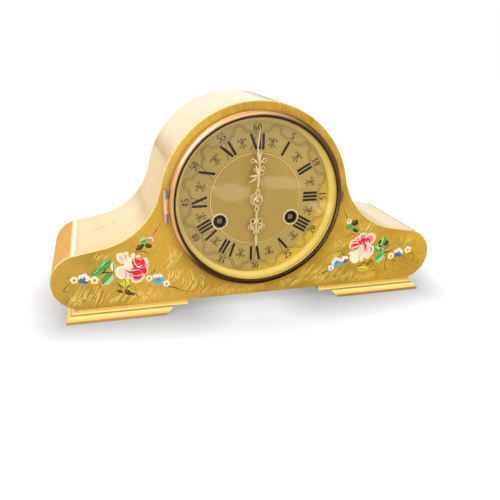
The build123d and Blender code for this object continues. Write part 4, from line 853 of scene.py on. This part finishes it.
def drawArcade(ink, values):
    # double line that steps out into a round arch over every half hour
    sector = arcadeHalf + [(30 - angle, away) for angle, away in reversed(arcadeHalf[1:-1])]
    points = [
        (*onCircle(away, radians(angle + 30 * hour)), values["arcadeWidth"])
        for hour in range(12) for angle, away in sector
    ]
    outer = smoothLine(points, 3, True)
    ink.ribbon(outer, 1, values["line"], True)
    inner = []
    for index, (x, z, width) in enumerate(outer):
        before, after = outer[index - 1], outer[(index + 1) % len(outer)]
        run = hypot(after[0] - before[0], after[1] - before[1])
        inner.append((
            x - (before[1] - after[1]) / run * values["arcadeGap"],
            z - (after[0] - before[0]) / run * values["arcadeGap"], width,
        ))
    ink.ribbon(inner, 1, values["line"], True)


def drawCircle(ink, radius, width, colour):
    # a line that stops at the two winding holes
    line = []
    for step in range(361):
        x, z = onCircle(radius, radians(step))
        if hypot(abs(x - dialX) - holeAside, z - holeZ) > holeRadius - 0.5:
            line.append((x, z, width))
        elif line:
            ink.ribbon(line, 1, colour)
            line = []
    ink.ribbon(line, 1, colour)


# turned collar round the hour pipe: radius and rise above the dial
collarProfile = [
    (3.7, 0), (3.7, 1.3), (3.9, 1.5), (4.5, 1.6), (4.9, 1.3), (5.2, 1.2), (5.5, 1.35), (6.0, 1.25),
    (6.4, 0.8), (6.5, 0.3), (6.5, 0),
]


def makeCollar(profile, count=48):
    mesh = bpy.data.meshes.new("dial_collar")
    spots, faces = [], []
    for step in range(count):
        angle = step * 2 * pi / count
        spots += [
            ((dialX + radius * cos(angle)) * mm, (dialFace - rise) * mm, (dialZ + radius * sin(angle)) * mm)
            for radius, rise in profile
        ]
        here, following = step * len(profile), (step + 1) % count * len(profile)
        for index in range(len(profile) - 1):
            faces.append((here + index, here + index + 1, following + index + 1, following + index))
    mesh.from_pydata(spots, [], faces)
    mesh.shade_smooth()
    mesh.materials.append(gilt)
    collar = bpy.data.objects.new("dial_collar", mesh)
    bpy.context.scene.collection.objects.link(collar)
    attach(collar, "case")


makeCollar(collarProfile)
printed = Ink(dialFace)
for hour in range(12):
    drawRoman(printed, dialPrint, hour)
    drawMinutes(printed, dialPrint, hour)
    drawHalfHour(printed, dialPrint, hour)
drawArcade(printed, dialPrint)
# the pale ring is a painted highlight along the raised line
for key, colour in (("ringLine", "line"), ("ringGleam", "pale")):
    offset, width = dialPrint[key]
    drawCircle(printed, dialGold["line"] + offset, width, dialPrint[colour])
printed.piece("dial_print", "case", makePaint("dial_ink", dialPrint))
print("dial printed")


paints = {
    "cream": tint(253, 228, 186), "blush": tint(250, 204, 180), "rose": tint(241, 112, 126),
    "deep": tint(222, 46, 92), "crimson": tint(226, 4, 30), "plum": tint(168, 14, 58),
    "emerald": tint(92, 176, 70), "mint": tint(160, 212, 136), "leaf": tint(66, 140, 58),
    "shadow": tint(48, 40, 16), "lime": tint(214, 212, 14), "olive": tint(150, 124, 14),
    "brown": tint(96, 50, 14), "white": tint(255, 248, 224), "sky": tint(176, 228, 236),
    "cyan": tint(60, 170, 206), "blue": tint(14, 110, 160), "red": tint(206, 10, 24),
    "orange": tint(232, 84, 24), "butter": tint(252, 222, 130),
}
sprayPaint = {"roughness": (0.48, 0.14), "coat": 0.1}

# two rose sprays in loose brushwork, in millimetres from the middle and from the ground
# petals: place, half sizes, lean, heart and rim; swirls: tint and points with brush widths
# leaves: foot, tip, swell, dark half and light half; flowers: place, radius, petals, shaded petals and eye
leftSpray = {
    "middle": (-110.5, 50.0),
    "petals": [
        (-125.2, 59.9, 4.0, 5.4, 10, "blush", "cream"), (-120.9, 62.0, 2.5, 3.4, 0, "blush", "cream"),
        (-112.8, 48.4, 7.6, 5.2, 0, "deep", "rose"),
        (-104.6, 51.4, 3.2, 7.2, -8, "rose", "cream"), (-126.2, 46.0, 4.9, 6.5, 0, "blush", "cream"),
        (-111.9, 39.2, 6.4, 4.6, 10, "deep", "cream"), (-120.3, 43.4, 3.8, 4.6, 0, "blush", "blush"),
        (-114.6, 61.2, 1.8, 2.6, -10, "cream", "cream"), (-110.2, 59.6, 2.2, 1.8, 35, "butter", "cream"),
        (-118.6, 53.8, 4.9, 7.0, -8, "cream", "blush"), (-109.8, 53.6, 5.6, 5.4, 0, "crimson", "deep"),
        (-105.4, 45.8, 2.8, 3.4, 20, "crimson", "deep"), (-111.0, 43.4, 5.4, 2.4, 4, "crimson", "crimson"),
    ],
    "swirls": [
        ("plum", [(-115.2, 57.8, 0.5), (-115.4, 54.2, 1.5), (-113.6, 50.4, 1.5), (-110.4, 48.2, 0.5)]),
        ("cream", [(-114.0, 56.4, 0.3), (-113.4, 52.8, 0.9), (-110.6, 50.2, 0.3)]),
        ("white", [(-112.4, 50.6, 0.3), (-109.8, 49.8, 1.0), (-107.0, 51.6, 0.3)]),
        ("cream", [(-107.4, 58.8, 0.3), (-103.6, 55.6, 1.2), (-104.4, 50.6, 0.4)]),
        ("crimson", [(-108.6, 57.2, 0.6), (-106.2, 56.4, 2.0), (-105.6, 53.6, 0.6)]),
        ("blush", [(-111.6, 57.6, 0.3), (-109.0, 57.8, 0.9), (-107.2, 56.0, 0.3)]),
        ("rose", [(-111.6, 53.8, 0.2), (-109.8, 52.6, 0.8), (-108.0, 54.0, 0.2)]),
        ("plum", [(-122.9, 48.2, 0.4), (-118.0, 45.4, 1.6), (-112.2, 45.8, 1.3), (-107.2, 47.6, 0.4)]),
        ("blush", [(-119.6, 46.8, 0.2), (-115.0, 46.8, 0.9), (-109.0, 47.2, 0.2)]),
        ("blush", [(-114.8, 41.8, 0.3), (-110.6, 41.4, 1.0), (-106.4, 43.6, 0.3)]),
        ("plum", [(-116.6, 41.0, 0.3), (-112.6, 39.2, 1.7), (-108.0, 41.2, 0.4)]),
        ("cream", [(-103.4, 49.0, 0.3), (-102.7, 45.0, 1.1), (-104.8, 41.8, 0.3)]),
        ("rose", [(-122.4, 46.0, 0.3), (-121.6, 42.6, 1.0), (-123.0, 40.0, 0.3)]),
        ("rose", [(-119.0, 45.0, 0.3), (-118.0, 42.4, 1.6), (-118.6, 39.8, 0.3)]),
        ("rose", [(-122.6, 63.4, 0.2), (-121.4, 60.8, 0.8), (-122.0, 57.6, 0.2)]),
        ("rose", [(-126.4, 62.2, 0.2), (-124.6, 59.2, 0.6), (-125.0, 56.0, 0.2)]),
        ("white", [(-128.0, 50.0, 0.2), (-130.2, 46.6, 0.9), (-129.2, 42.8, 0.2)]),
        ("white", [(-121.8, 57.0, 0.2), (-122.4, 52.8, 0.9), (-121.0, 48.6, 0.2)]),
    ],
    "leaves": [
        (-144.6, 50.4, -134.6, 58.6, 3.2, "leaf", "emerald"),
        (-152.0, 45.4, -141.6, 49.8, 2.6, "emerald", "leaf"),
        (-134.2, 44.6, -142.6, 35.6, 3.5, "leaf", "mint"),
        (-132.6, 47.6, -132.8, 56.4, 1.6, "mint", "cream"),
        (-123.6, 38.8, -120.2, 32.8, 2.2, "lime", "lime"),
        (-120.6, 31.4, -113.8, 26.4, 2.0, "lime", "olive"),
        (-129.6, 36.0, -124.2, 30.6, 1.6, "olive", "lime"),
        (-123.4, 27.6, -118.6, 23.0, 1.9, "brown", "shadow"),
        (-130.8, 28.8, -125.6, 26.0, 1.2, "brown", "brown"),
        (-119.6, 25.4, -114.6, 22.4, 1.3, "brown", "olive"),
        (-107.4, 73.4, -102.0, 76.0, 2.4, "emerald", "mint"),
        (-111.8, 66.2, -104.6, 71.2, 1.8, "shadow", "brown"),
        (-103.8, 70.6, -97.6, 68.6, 1.7, "shadow", "brown"),
    ],
    "flowers": [
        (-167.0, 42.2, 2.9, "cream", "butter", "red"), (-158.6, 42.6, 4.2, "sky", "blue", "red"),
        (-149.6, 40.4, 3.2, "cream", "butter", "red"), (-101.4, 37.6, 2.7, "cream", "butter", "red"),
        (-93.6, 36.2, 4.5, "sky", "cyan", "red"), (-85.8, 30.8, 2.7, "white", "sky", "red"),
        (-98.6, 75.4, 2.3, "blush", "rose", "crimson"),
    ],
    "stems": [
        [(-169.8, 40.4, 0.3), (-174.0, 36.6, 0.6), (-176.6, 32.6, 0.7), (-174.0, 31.0, 0.5),
         (-171.6, 32.6, 0.3)],
        [(-155.6, 46.8, 0.3), (-146.0, 47.2, 0.8), (-138.6, 46.8, 1.5), (-132.0, 45.6, 0.8)],
        [(-146.2, 44.4, 0.4), (-142.4, 46.6, 1.6), (-138.0, 51.0, 0.6)],
        [(-149.0, 37.2, 0.3), (-145.2, 35.0, 0.5), (-144.0, 31.2, 0.3)],
        [(-84.0, 27.4, 0.8), (-78.6, 26.2, 1.1), (-72.4, 22.6, 0.5), (-61.0, 19.8, 0.3)],
        [(-112.8, 62.8, 0.3), (-108.4, 65.0, 0.8), (-102.6, 63.4, 0.7), (-100.4, 60.2, 0.3)],
        [(-113.4, 64.4, 0.3), (-110.4, 66.8, 0.7), (-104.6, 72.4, 0.6), (-99.0, 77.4, 0.4)],
        [(-96.2, 79.6, 0.9), (-94.8, 81.4, 0.3), (-93.4, 83.4, 0.9), (-91.8, 85.6, 0.3),
         (-89.0, 89.4, 0.5)],
        [(-100.0, 42.4, 0.3), (-96.6, 44.2, 0.8), (-95.8, 46.6, 0.3)],
        [(-119.0, 36.6, 0.4), (-121.0, 31.0, 0.9), (-124.4, 27.0, 0.4)],
        [(-116.4, 25.0, 0.4), (-113.0, 22.8, 0.8), (-111.4, 19.8, 0.3)],
    ],
    "dots": [(-151.8, 31.2), (-145.4, 28.6), (-101.2, 30.6), (-84.0, 21.8), (-108.0, 33.0), (-91.6, 28.6)],
}
rightSpray = {
    "middle": (112.0, 54.0),
    "petals": [
        (108.6, 52.6, 7.6, 8.6, 10, "rose", "blush"), (105.4, 59.4, 4.8, 3.4, 32, "rose", "blush"),
        (111.2, 62.4, 4.8, 4.2, -8, "rose", "cream"), (119.4, 59.4, 5.6, 6.6, -12, "rose", "cream"),
        (102.6, 54.6, 6.0, 5.4, 12, "rose", "cream"), (119.0, 45.6, 5.2, 7.6, -22, "blush", "cream"),
        (111.8, 38.4, 2.4, 2.8, 0, "blush", "cream"), (99.6, 45.4, 2.8, 2.1, 12, "white", "cream"),
        (104.6, 40.4, 5.8, 6.2, -20, "cream", "cream"), (110.0, 46.8, 5.4, 7.6, 18, "blush", "cream"),
        (113.4, 58.4, 5.0, 2.4, -4, "crimson", "crimson"), (108.4, 55.8, 2.4, 2.2, 0, "crimson", "deep"),
        (103.4, 54.2, 3.8, 2.5, 12, "crimson", "deep"),
    ],
    "swirls": [
        ("rose", [(112.4, 55.6, 0.6), (114.4, 50.8, 3.2), (114.8, 44.8, 0.5)]),
        ("deep", [(112.8, 56.8, 0.5), (115.0, 52.4, 1.8), (116.2, 47.2, 0.4)]),
        ("plum", [(112.4, 57.2, 0.3), (114.4, 53.6, 1.0), (115.4, 49.6, 0.3)]),
        ("white", [(113.6, 57.6, 0.2), (115.8, 54.8, 0.9), (117.4, 52.2, 0.2)]),
        ("white", [(116.8, 58.0, 0.2), (117.6, 55.4, 0.8), (117.6, 52.8, 0.2)]),
        ("crimson", [(115.4, 61.0, 0.3), (118.0, 58.6, 1.6), (119.0, 55.0, 0.3)]),
        ("rose", [(118.6, 50.6, 0.4), (121.8, 48.6, 2.2), (121.4, 44.2, 0.4)]),
        ("crimson", [(99.6, 57.4, 0.3), (103.6, 58.2, 1.3), (108.4, 57.4, 0.6)]),
        ("white", [(100.2, 56.0, 0.2), (103.8, 56.6, 0.9), (107.2, 56.2, 0.2)]),
        ("deep", [(98.8, 55.2, 0.3), (98.6, 53.0, 1.0), (100.2, 50.8, 0.3)]),
        ("white", [(100.8, 52.0, 0.2), (104.6, 52.0, 1.0), (107.8, 54.2, 0.2)]),
        ("plum", [(99.4, 50.2, 0.3), (104.4, 49.8, 1.4), (108.8, 53.2, 0.5)]),
        ("blush", [(100.4, 48.6, 0.2), (104.8, 48.2, 1.1), (108.6, 50.8, 0.3)]),
        ("white", [(101.0, 41.4, 0.3), (102.8, 37.8, 1.4), (105.8, 35.8, 0.3)]),
        ("rose", [(108.0, 43.0, 0.2), (109.2, 40.4, 0.8), (108.6, 37.6, 0.2)]),
    ],
    "leaves": [
        (125.0, 49.8, 133.0, 44.6, 2.6, "emerald", "mint"), (133.4, 50.6, 135.2, 60.6, 2.4, "leaf", "mint"),
        (136.0, 51.0, 139.4, 56.2, 1.8, "shadow", "brown"),
        (129.8, 50.2, 134.6, 53.4, 1.6, "shadow", "leaf"),
        (137.0, 47.4, 141.6, 52.0, 1.7, "leaf", "olive"), (129.4, 53.0, 131.4, 57.6, 1.5, "shadow", "leaf"),
        (131.4, 47.0, 137.4, 46.2, 1.7, "mint", "leaf"), (137.8, 40.6, 133.0, 35.0, 1.7, "leaf", "emerald"),
        (136.2, 41.6, 127.6, 34.4, 3.6, "emerald", "mint"),
        (106.4, 27.4, 121.4, 27.4, 1.9, "lime", "lime"), (121.8, 27.2, 128.0, 28.2, 1.3, "lime", "olive"),
        (118.8, 30.2, 123.0, 36.2, 1.2, "olive", "brown"),
        (97.8, 76.6, 104.2, 79.0, 2.3, "shadow", "brown"),
        (92.6, 72.4, 98.8, 75.2, 2.5, "emerald", "leaf"), (99.4, 71.4, 105.4, 68.6, 1.7, "shadow", "leaf"),
    ],
    "flowers": [
        (144.8, 38.8, 3.0, "cream", "butter", "orange"), (153.2, 41.8, 4.3, "sky", "blue", "red"),
        (163.6, 44.2, 3.3, "cream", "butter", "orange"), (78.8, 31.4, 2.7, "white", "sky", "red"),
        (84.6, 37.2, 4.5, "sky", "cyan", "red"), (93.6, 39.2, 3.2, "white", "blue", "red"),
        (94.4, 79.6, 2.3, "blush", "cream", "crimson"),
    ],
    "stems": [
        [(66.0, 24.6, 0.6), (70.4, 27.0, 1.1), (75.6, 28.6, 0.6)],
        [(90.0, 48.6, 0.3), (90.4, 45.6, 0.8), (93.6, 43.8, 0.4)],
        [(126.0, 45.0, 0.4), (134.0, 44.6, 1.2), (139.4, 43.2, 1.4), (146.4, 46.0, 0.4)],
        [(138.8, 42.6, 0.5), (140.0, 36.0, 0.8), (138.6, 29.6, 0.6), (141.4, 23.0, 0.4),
         (143.8, 25.4, 0.3)],
        [(166.6, 41.4, 0.3), (170.6, 38.6, 0.5), (172.0, 33.4, 0.5), (168.6, 31.8, 0.3)],
        [(156.6, 38.6, 0.3), (160.6, 35.6, 0.5), (158.6, 33.0, 0.3)],
        [(146.6, 34.8, 0.4), (149.6, 33.4, 0.9), (148.2, 31.4, 0.3)],
        [(95.2, 62.4, 0.3), (95.6, 64.4, 0.6), (99.1, 66.4, 0.8), (104.2, 63.6, 0.3)],
        [(88.4, 90.0, 0.5), (89.6, 87.6, 0.3), (90.8, 85.6, 0.9), (92.6, 82.8, 0.4), (94.6, 79.6, 0.5)],
        [(97.6, 78.4, 0.4), (98.4, 74.0, 0.8), (101.0, 68.4, 0.4)],
        [(105.0, 28.4, 0.3), (110.4, 31.0, 0.8), (114.6, 34.0, 1.0), (118.4, 33.0, 0.8),
         (119.6, 30.2, 0.3)],
        [(119.0, 30.8, 0.4), (122.2, 36.6, 1.0), (125.4, 32.6, 0.7), (123.0, 30.6, 0.3)],
    ],
    "dots": [(134.6, 33.0), (147.6, 29.8), (126.6, 25.6), (99.0, 32.4), (88.6, 30.0)],
}


def oval(x, z, across, up, lean, wave=0.05, count=24):
    # rim of a brush dab, a little uneven
    rim = []
    for step in range(count):
        angle = step * 2 * pi / count
        swell = 1 + wave * sin(3 * angle + x) + wave / 2 * sin(5 * angle + z)
        side, rise = across * swell * cos(angle), up * swell * sin(angle)
        rim.append((x + side * cos(lean) - rise * sin(lean), z + side * sin(lean) + rise * cos(lean)))
    return rim


def paintDab(ink, x, z, across, up, lean, level, heart, rim, middle=None):
    # a dab whose heart lies towards the middle of its flower
    rings = [oval(x, z, across * share, up * share, lean) for share in (1, 0.9, 0.5)]
    if middle:
        way = (Vector(middle) - Vector((x, z))) * 0.06
        way.length = min(way.length, 1.0) * 0.36 * min(across, up)
        rings[2] = oval(x + way.x, z + way.y, across * 0.5, up * 0.5, lean)
    ink.fill(rings, level, [paints[name] for name in (rim, rim, heart)])


def paintSpot(ink, x, z, radius, level, name):
    paintDab(ink, x, z, radius, radius, 0, level, name, name)


leafBrush = {
    "steps": 14, "fullness": 1.3, "roundness": 0.6, "wave": 0.12,
    # each stroke: where it starts along the leaf, and how far it bows out
    "strokes": ((0.1, 0.5), (0.35, 0.9)), "strokeWidth": 0.26,
    # tints of the strokes on the two halves, by the tint of the leaf's dark half
    "tints": {
        "emerald": ("mint", "leaf"), "leaf": ("mint", "emerald"), "mint": ("white", "leaf"),
        "lime": ("butter", "olive"), "olive": ("lime", "brown"), "shadow": ("leaf", "brown"),
        "brown": ("olive", "shadow"),
    },
}


def paintLeaf(ink, values, startX, startZ, endX, endZ, swell, level, dark, light):
    # two rounded halves of different green, two brush strokes along each and a fine rib
    along = atan2(endZ - startZ, endX - startX)
    length = hypot(endX - startX, endZ - startZ)

    def place(share, aside, width):
        reach = length * share
        x = startX + reach * cos(along) - aside * sin(along)
        return (x, startZ + reach * sin(along) + aside * cos(along), width)

    for side, name in ((1, light), (-1, dark)):
        line = []
        for step in range(values["steps"] + 1):
            share = step / values["steps"]
            uneven = 1 + values["wave"] * sin(14 * share + startX)
            width = values["fullness"] * swell * sin(pi * share) ** values["roundness"] * uneven
            line.append(place(share, side * width / 2, max(width, 0.05)))
        ink.ribbon(line, level, paints[name])
    for side, name in zip((1, -1), values["tints"][dark]):
        for share, aside in values["strokes"]:
            points = [
                place(share, side * swell * 0.1, 0.15),
                place(share + 0.25, side * swell * aside * 0.8, values["strokeWidth"] * swell),
                place(share + 0.5, side * swell * aside * 0.7, 0.1),
            ]
            ink.ribbon(smoothLine(points), level + 1 + share, paints[name])
    ink.ribbon([place(0, 0, 0.6), place(0.5, 0, 0.4), place(1, 0, 0.1)], level + 1.8, paints["shadow"])


flowerBrush = {"petals": 5, "spread": 1.2, "petalAt": 0.56, "petal": 0.47, "eye": 0.34, "glint": 0.1}


def paintFlower(ink, values, x, z, radius, level, pale, shade, eye):
    # round petals, shaded below, about an eye with a glint
    reach = values["spread"] * radius
    for petal in range(values["petals"]):
        angle = petal * 2 * pi / values["petals"] + 0.3 + x
        spot = (x + values["petalAt"] * reach * cos(angle), z + values["petalAt"] * reach * sin(angle))
        heart, rim = (shade, shade) if sin(angle) < -0.3 else (pale, "white" if pale == "sky" else pale)
        size = reach * values["petal"]
        paintDab(ink, *spot, size, size, 0, level + petal % 3, heart, rim)
    paintSpot(ink, x, z, reach * values["eye"], level + 3, eye)
    paintSpot(ink, x - 0.08 * reach, z + 0.08 * reach, reach * values["glint"], level + 4, "butter")


def paintSpray(ink, spray):
    for line in spray["stems"]:
        ink.ribbon(smoothLine(line), 0, paints["brown"])
    for x, z in spray["dots"]:
        paintSpot(ink, x, z, 0.55, 0, "brown")
    for order, leaf in enumerate(spray["leaves"]):
        paintLeaf(ink, leafBrush, *leaf[:5], 1 + 2 * (order % 3), *leaf[5:])
    for order, (x, z, across, up, lean, heart, rim) in enumerate(spray["petals"], 7):
        paintDab(ink, x, z, across, up, radians(lean), order, heart, rim, spray["middle"])
    for order, (name, line) in enumerate(spray["swirls"], 7 + len(spray["petals"])):
        ink.ribbon(smoothLine(line), order, paints[name])
    for flower in spray["flowers"]:
        paintFlower(ink, flowerBrush, *flower[:3], 7, *flower[3:])


painted = Ink(panelFace)
paintSpray(painted, leftSpray)
paintSpray(painted, rightSpray)
painted.piece("painted_sprays", "case", makePaint("spray_paint", sprayPaint))
print("sprays painted")


# fine pale crackle in the lacquer: middle of each group, half its breadth, lean, length, number and bend
crackle = {
    "pale": tint(255, 222, 120), "faint": tint(236, 196, 88), "roughness": (0.36, 0.14), "coat": 0.3,
    "width": 0.36, "density": 2.0, "seed": 11, "clear": 83.5, "floor": 13.6,
    "groups": [
        (-157, 25, 12, 30, 24, 9, 0.05), (-131, 21, 9, 33, 13, 6, 0.05), (-106, 20, 14, 34, 14, 11, 0.08),
        (-80, 57, 7, 18, 21, 5, 0.25), (-79, 40, 8, 24, 15, 5, 0.25), (-62, 30, 10, 12, 20, 6, 0.22),
        (-40, 20, 14, 20, 11, 6, 0.2), (-10, 17, 20, 24, 7, 6, 0.15), (38, 19, 12, 42, 13, 6, 0.15),
        (57, 29, 12, 45, 22, 9, 0.10), (76, 22, 11, 40, 16, 9, 0.10), (94, 21, 10, 26, 12, 8, 0.10),
        (113, 18.5, 9, 20, 8, 6, 0.08), (124, 21, 5, 26, 8, 3, 0.08), (88, 56, 7, 58, 14, 5, 0.12),
        (113, 72, 9, 30, 13, 8, 0.06), (155, 55.5, 2, 6, 10, 2, 0.05), (163, 53, 4, 24, 12, 4, 0.05),
        (84, 42, 8, 48, 15, 5, 0.12), (-142, 62, 6, 34, 8, 3, 0.06), (-168, 22, 4, 28, 10, 3, 0.05),
    ],
}


def drawCrackle(ink, values):
    # no line runs under the bezel or below the panel's lower edge
    chance = random.Random(values["seed"])
    for x, z, spread, lean, length, lines, bend in values["groups"]:
        count = round(lines * values["density"])
        way = chance.choice((-1, 1))
        for order in range(count):
            along = length * chance.uniform(0.5, 1.15)
            turn = radians(lean + chance.uniform(-8, 8))
            middle = (x + spread * ((2 * order + 1) / count - 1), z + 0.2 * length * chance.uniform(-1, 1))
            bow = bend * along * way * chance.uniform(0.5, 1)
            line = []
            for share in (-0.5, -0.25, 0, 0.25, 0.5):
                out = bow * (1 - 4 * share * share) + chance.uniform(-0.3, 0.3)
                spotX = middle[0] + along * share * sin(turn) + out * cos(turn)
                spotZ = middle[1] + along * share * cos(turn) - out * sin(turn)
                if spotZ > values["floor"] and hypot(spotX - dialX, spotZ - dialZ) > values["clear"]:
                    line.append((spotX, spotZ, values["width"] * (1 - 1.6 * abs(share)) + 0.1))
            colour = values[chance.choice(("pale", "pale", "faint"))]
            if len(line) > 1:
                ink.ribbon(smoothLine(line), 0, colour)


cracks = Ink(panelFace, 0.01)
drawCrackle(cracks, crackle)
cracks.piece("lacquer_crackle", "case", makePaint("crackle_gilt", crackle))
print("crackle drawn")


floorValues = {
    "size": 6.0, "drop": 0.0002, "tint": (0.88, 0.92, 0.98, 1), "contactShadow": 0.36, "contactReach": 50,
    "softness": 0.5, "nearGlow": 0.98, "farGlow": 2.0, "glowRange": (130, 360), "glowDepth": 1.6,
    # what polished surfaces see: bright to the left and behind, with pale cards (middle and half sizes)
    "mirroredTint": (1.0, 0.9, 0.75, 1), "bright": 0.85, "dark": 0.14, "leftRange": (-140, 40),
    "behindRange": (60, 160), "cards": [(55, -560, 62, 130), (245, -630, 88, 130), (240, -300, 38, 60)],
    "cardLevel": 1.5, "cardEdge": (1.2, 1.7), "cardCloud": 1.1,
}


def makeFloor(values):
    # white floor that keeps a soft shadow, with a painted shadow near the feet; polished metal sees it
    # darker, as it would see a room
    half = values["size"] / 2
    corners = [(-half, -half, 0), (half, -half, 0), (half, half, 0), (-half, half, 0)]
    mesh = bpy.data.meshes.new("floor")
    mesh.from_pydata(corners, [], [(0, 1, 2, 3)])
    floor = bpy.data.objects.new("floor", mesh)
    bpy.context.scene.collection.objects.link(floor)
    floor.location.z = -values["drop"]
    finish = Finish("floor_white")
    seen, glossy = finish.rays()
    at = finish.points()
    x, y, z = finish.split(at)
    # painted shadow: a little darker where the feet stand
    shade = 1.0
    for name in ("left_foot", "right_foot"):
        low, high = (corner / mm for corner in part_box(name))
        besideX = (abs(x - (low.x + high.x) / 2) - (high.x - low.x) / 2).math("MAXIMUM", 0.0)
        besideY = (abs(y - (low.y + high.y) / 2) - (high.y - low.y) / 2).math("MAXIMUM", 0.0)
        apart = span(besideX, besideY).math("MINIMUM", values["contactReach"])
        shade = (apart * (values["contactShadow"] / values["contactReach"]) + (1 - values["contactShadow"])) * shade
    away = span(x, y * values["glowDepth"]).between(*values["glowRange"])
    level = shade * (away * (values["farGlow"] - values["nearGlow"]) + values["nearGlow"])
    matt = finish.node("ShaderNodeBsdfDiffuse", {}, {"Color": finish.darken(values["tint"], shade)})
    glow = finish.node("ShaderNodeEmission", {}, {"Color": finish.darken((1, 1, 1, 1), level)})
    both = finish.node("ShaderNodeMixShader", {}, {0: seen * values["softness"], 1: matt, 2: glow})
    bright = (1 - x.between(*values["leftRange"])).math("MAXIMUM", y.between(*values["behindRange"]))
    level = bright * (values["bright"] - values["dark"]) + values["dark"]
    cloud = finish.noise(at, 0.02, 3) * values["cardCloud"]
    for cardX, cardY, across, deep in values["cards"]:
        apart = span((x - cardX) * (1 / across), (y - cardY) * (1 / deep)) + cloud
        level = level + (1 - apart.between(*values["cardEdge"])) * values["cardLevel"]
    mirrored = finish.node("ShaderNodeEmission", {}, {"Color": finish.darken(values["mirroredTint"], level)})
    ground = finish.node("ShaderNodeMixShader", {}, {0: glossy, 1: both, 2: mirrored})
    finish.node("ShaderNodeOutputMaterial", {}, {"Surface": ground})
    mesh.materials.append(finish.owner)


skyValues = {
    "fill": 0.70, "bright": 1.05, "dark": 0.16, "brightSide": (-0.6, -0.35, 0.7), "brightRange": (-0.1, 0.7),
    "behind": 1.15, "behindRange": (0.5, 0.85), "behindRise": (-0.1, 0.12),
}


def makeSky(values):
    # white to the eye; polished metal sees it brighter at the upper left and behind
    finish = Finish("studio", "worlds")
    bpy.context.scene.world = finish.owner
    seen, glossy = finish.rays()
    way = finish.node("ShaderNodeTexCoord")
    x, y, z = finish.split(way)
    brightSide = Vector(values["brightSide"]).normalized()
    toward = finish.node("ShaderNodeVectorMath", {"operation": "DOT_PRODUCT"}, {0: way, 1: brightSide}, 1)
    mirror = toward.between(*values["brightRange"]) * (values["bright"] - values["dark"]) + values["dark"]
    behind = y.between(*values["behindRange"]) * z.between(*values["behindRise"]) * values["behind"]
    unseen = glossy * mirror.math("MAXIMUM", behind) + (1 - glossy) * values["fill"]
    level = seen + (1 - seen) * unseen
    sky = finish.node("ShaderNodeBackground", {}, {"Color": finish.darken((1, 1, 1, 1), level)})
    finish.node("ShaderNodeOutputWorld", {}, {"Surface": sky})


# soft lamps, all aimed at the clock: place, size, power, and whether polished surfaces mirror them
lampAim = (0, 0, 0.1)
lamps = {
    "back_panel_light": {"at": (-0.25, 1.1, 0.62), "size": (1.9, 0.9), "power": 1.8, "mirrored": False},
    "top_light": {"at": (-0.3, 0.3, 1.1), "size": (0.9, 0.7), "power": 1.5, "mirrored": True},
    "left_light": {"at": (-0.9, -0.85, 1.0), "size": (1.1, 1.1), "power": 8.5, "mirrored": True},
    "front_light": {"at": (0.9, -1.2, 0.6), "size": (0.9, 0.6), "power": 8.0, "mirrored": False},
}


def hangLamp(name, values):
    light = bpy.data.lights.new(name, "AREA")
    light.shape = "RECTANGLE"
    light.size, light.size_y = values["size"]
    light.energy = values["power"]
    lamp = bpy.data.objects.new(name, light)
    lamp.location = values["at"]
    lamp.rotation_euler = (Vector(lampAim) - Vector(values["at"])).to_track_quat("-Z", "Y").to_euler()
    lamp.visible_camera = False
    lamp.visible_glossy = values["mirrored"]
    bpy.context.scene.collection.objects.link(lamp)


# where the photograph was taken from: angles in degrees, lengths in millimetres
view = {
    "azimuth": -15.738, "elevation": 21.078, "roll": 1.251, "distance": 521.08,
    "aimX": -5.936, "aimZ": 57.654, "lens": 39.56, "sensor": 36, "nearest": 10,
}


def makeCamera(values):
    azimuth, elevation, roll = (radians(values[key]) for key in ("azimuth", "elevation", "roll"))
    back = Vector((sin(azimuth) * cos(elevation), -cos(azimuth) * cos(elevation), sin(elevation)))
    right = (-back).cross(Vector((0, 0, 1))).normalized()
    up = right.cross(-back)
    across = cos(roll) * right + sin(roll) * up
    upward = cos(roll) * up - sin(roll) * right
    aim = Vector((values["aimX"], panelFace, values["aimZ"]))
    turn = Matrix((across, upward, back)).transposed().to_4x4()
    camera = bpy.data.objects.new("camera", bpy.data.cameras.new("camera"))
    camera.data.lens = values["lens"]
    camera.data.sensor_width = values["sensor"]
    camera.data.clip_start = values["nearest"] * mm
    camera.matrix_world = Matrix.Translation((aim + back * values["distance"]) * mm) @ turn
    bpy.context.scene.collection.objects.link(camera)
    bpy.context.scene.camera = camera


makeFloor(floorValues)
makeSky(skyValues)
for name, values in lamps.items():
    hangLamp(name, values)
makeCamera(view)
bpy.context.scene.view_settings.view_transform = "Standard"
print("stage, lamps and camera set")
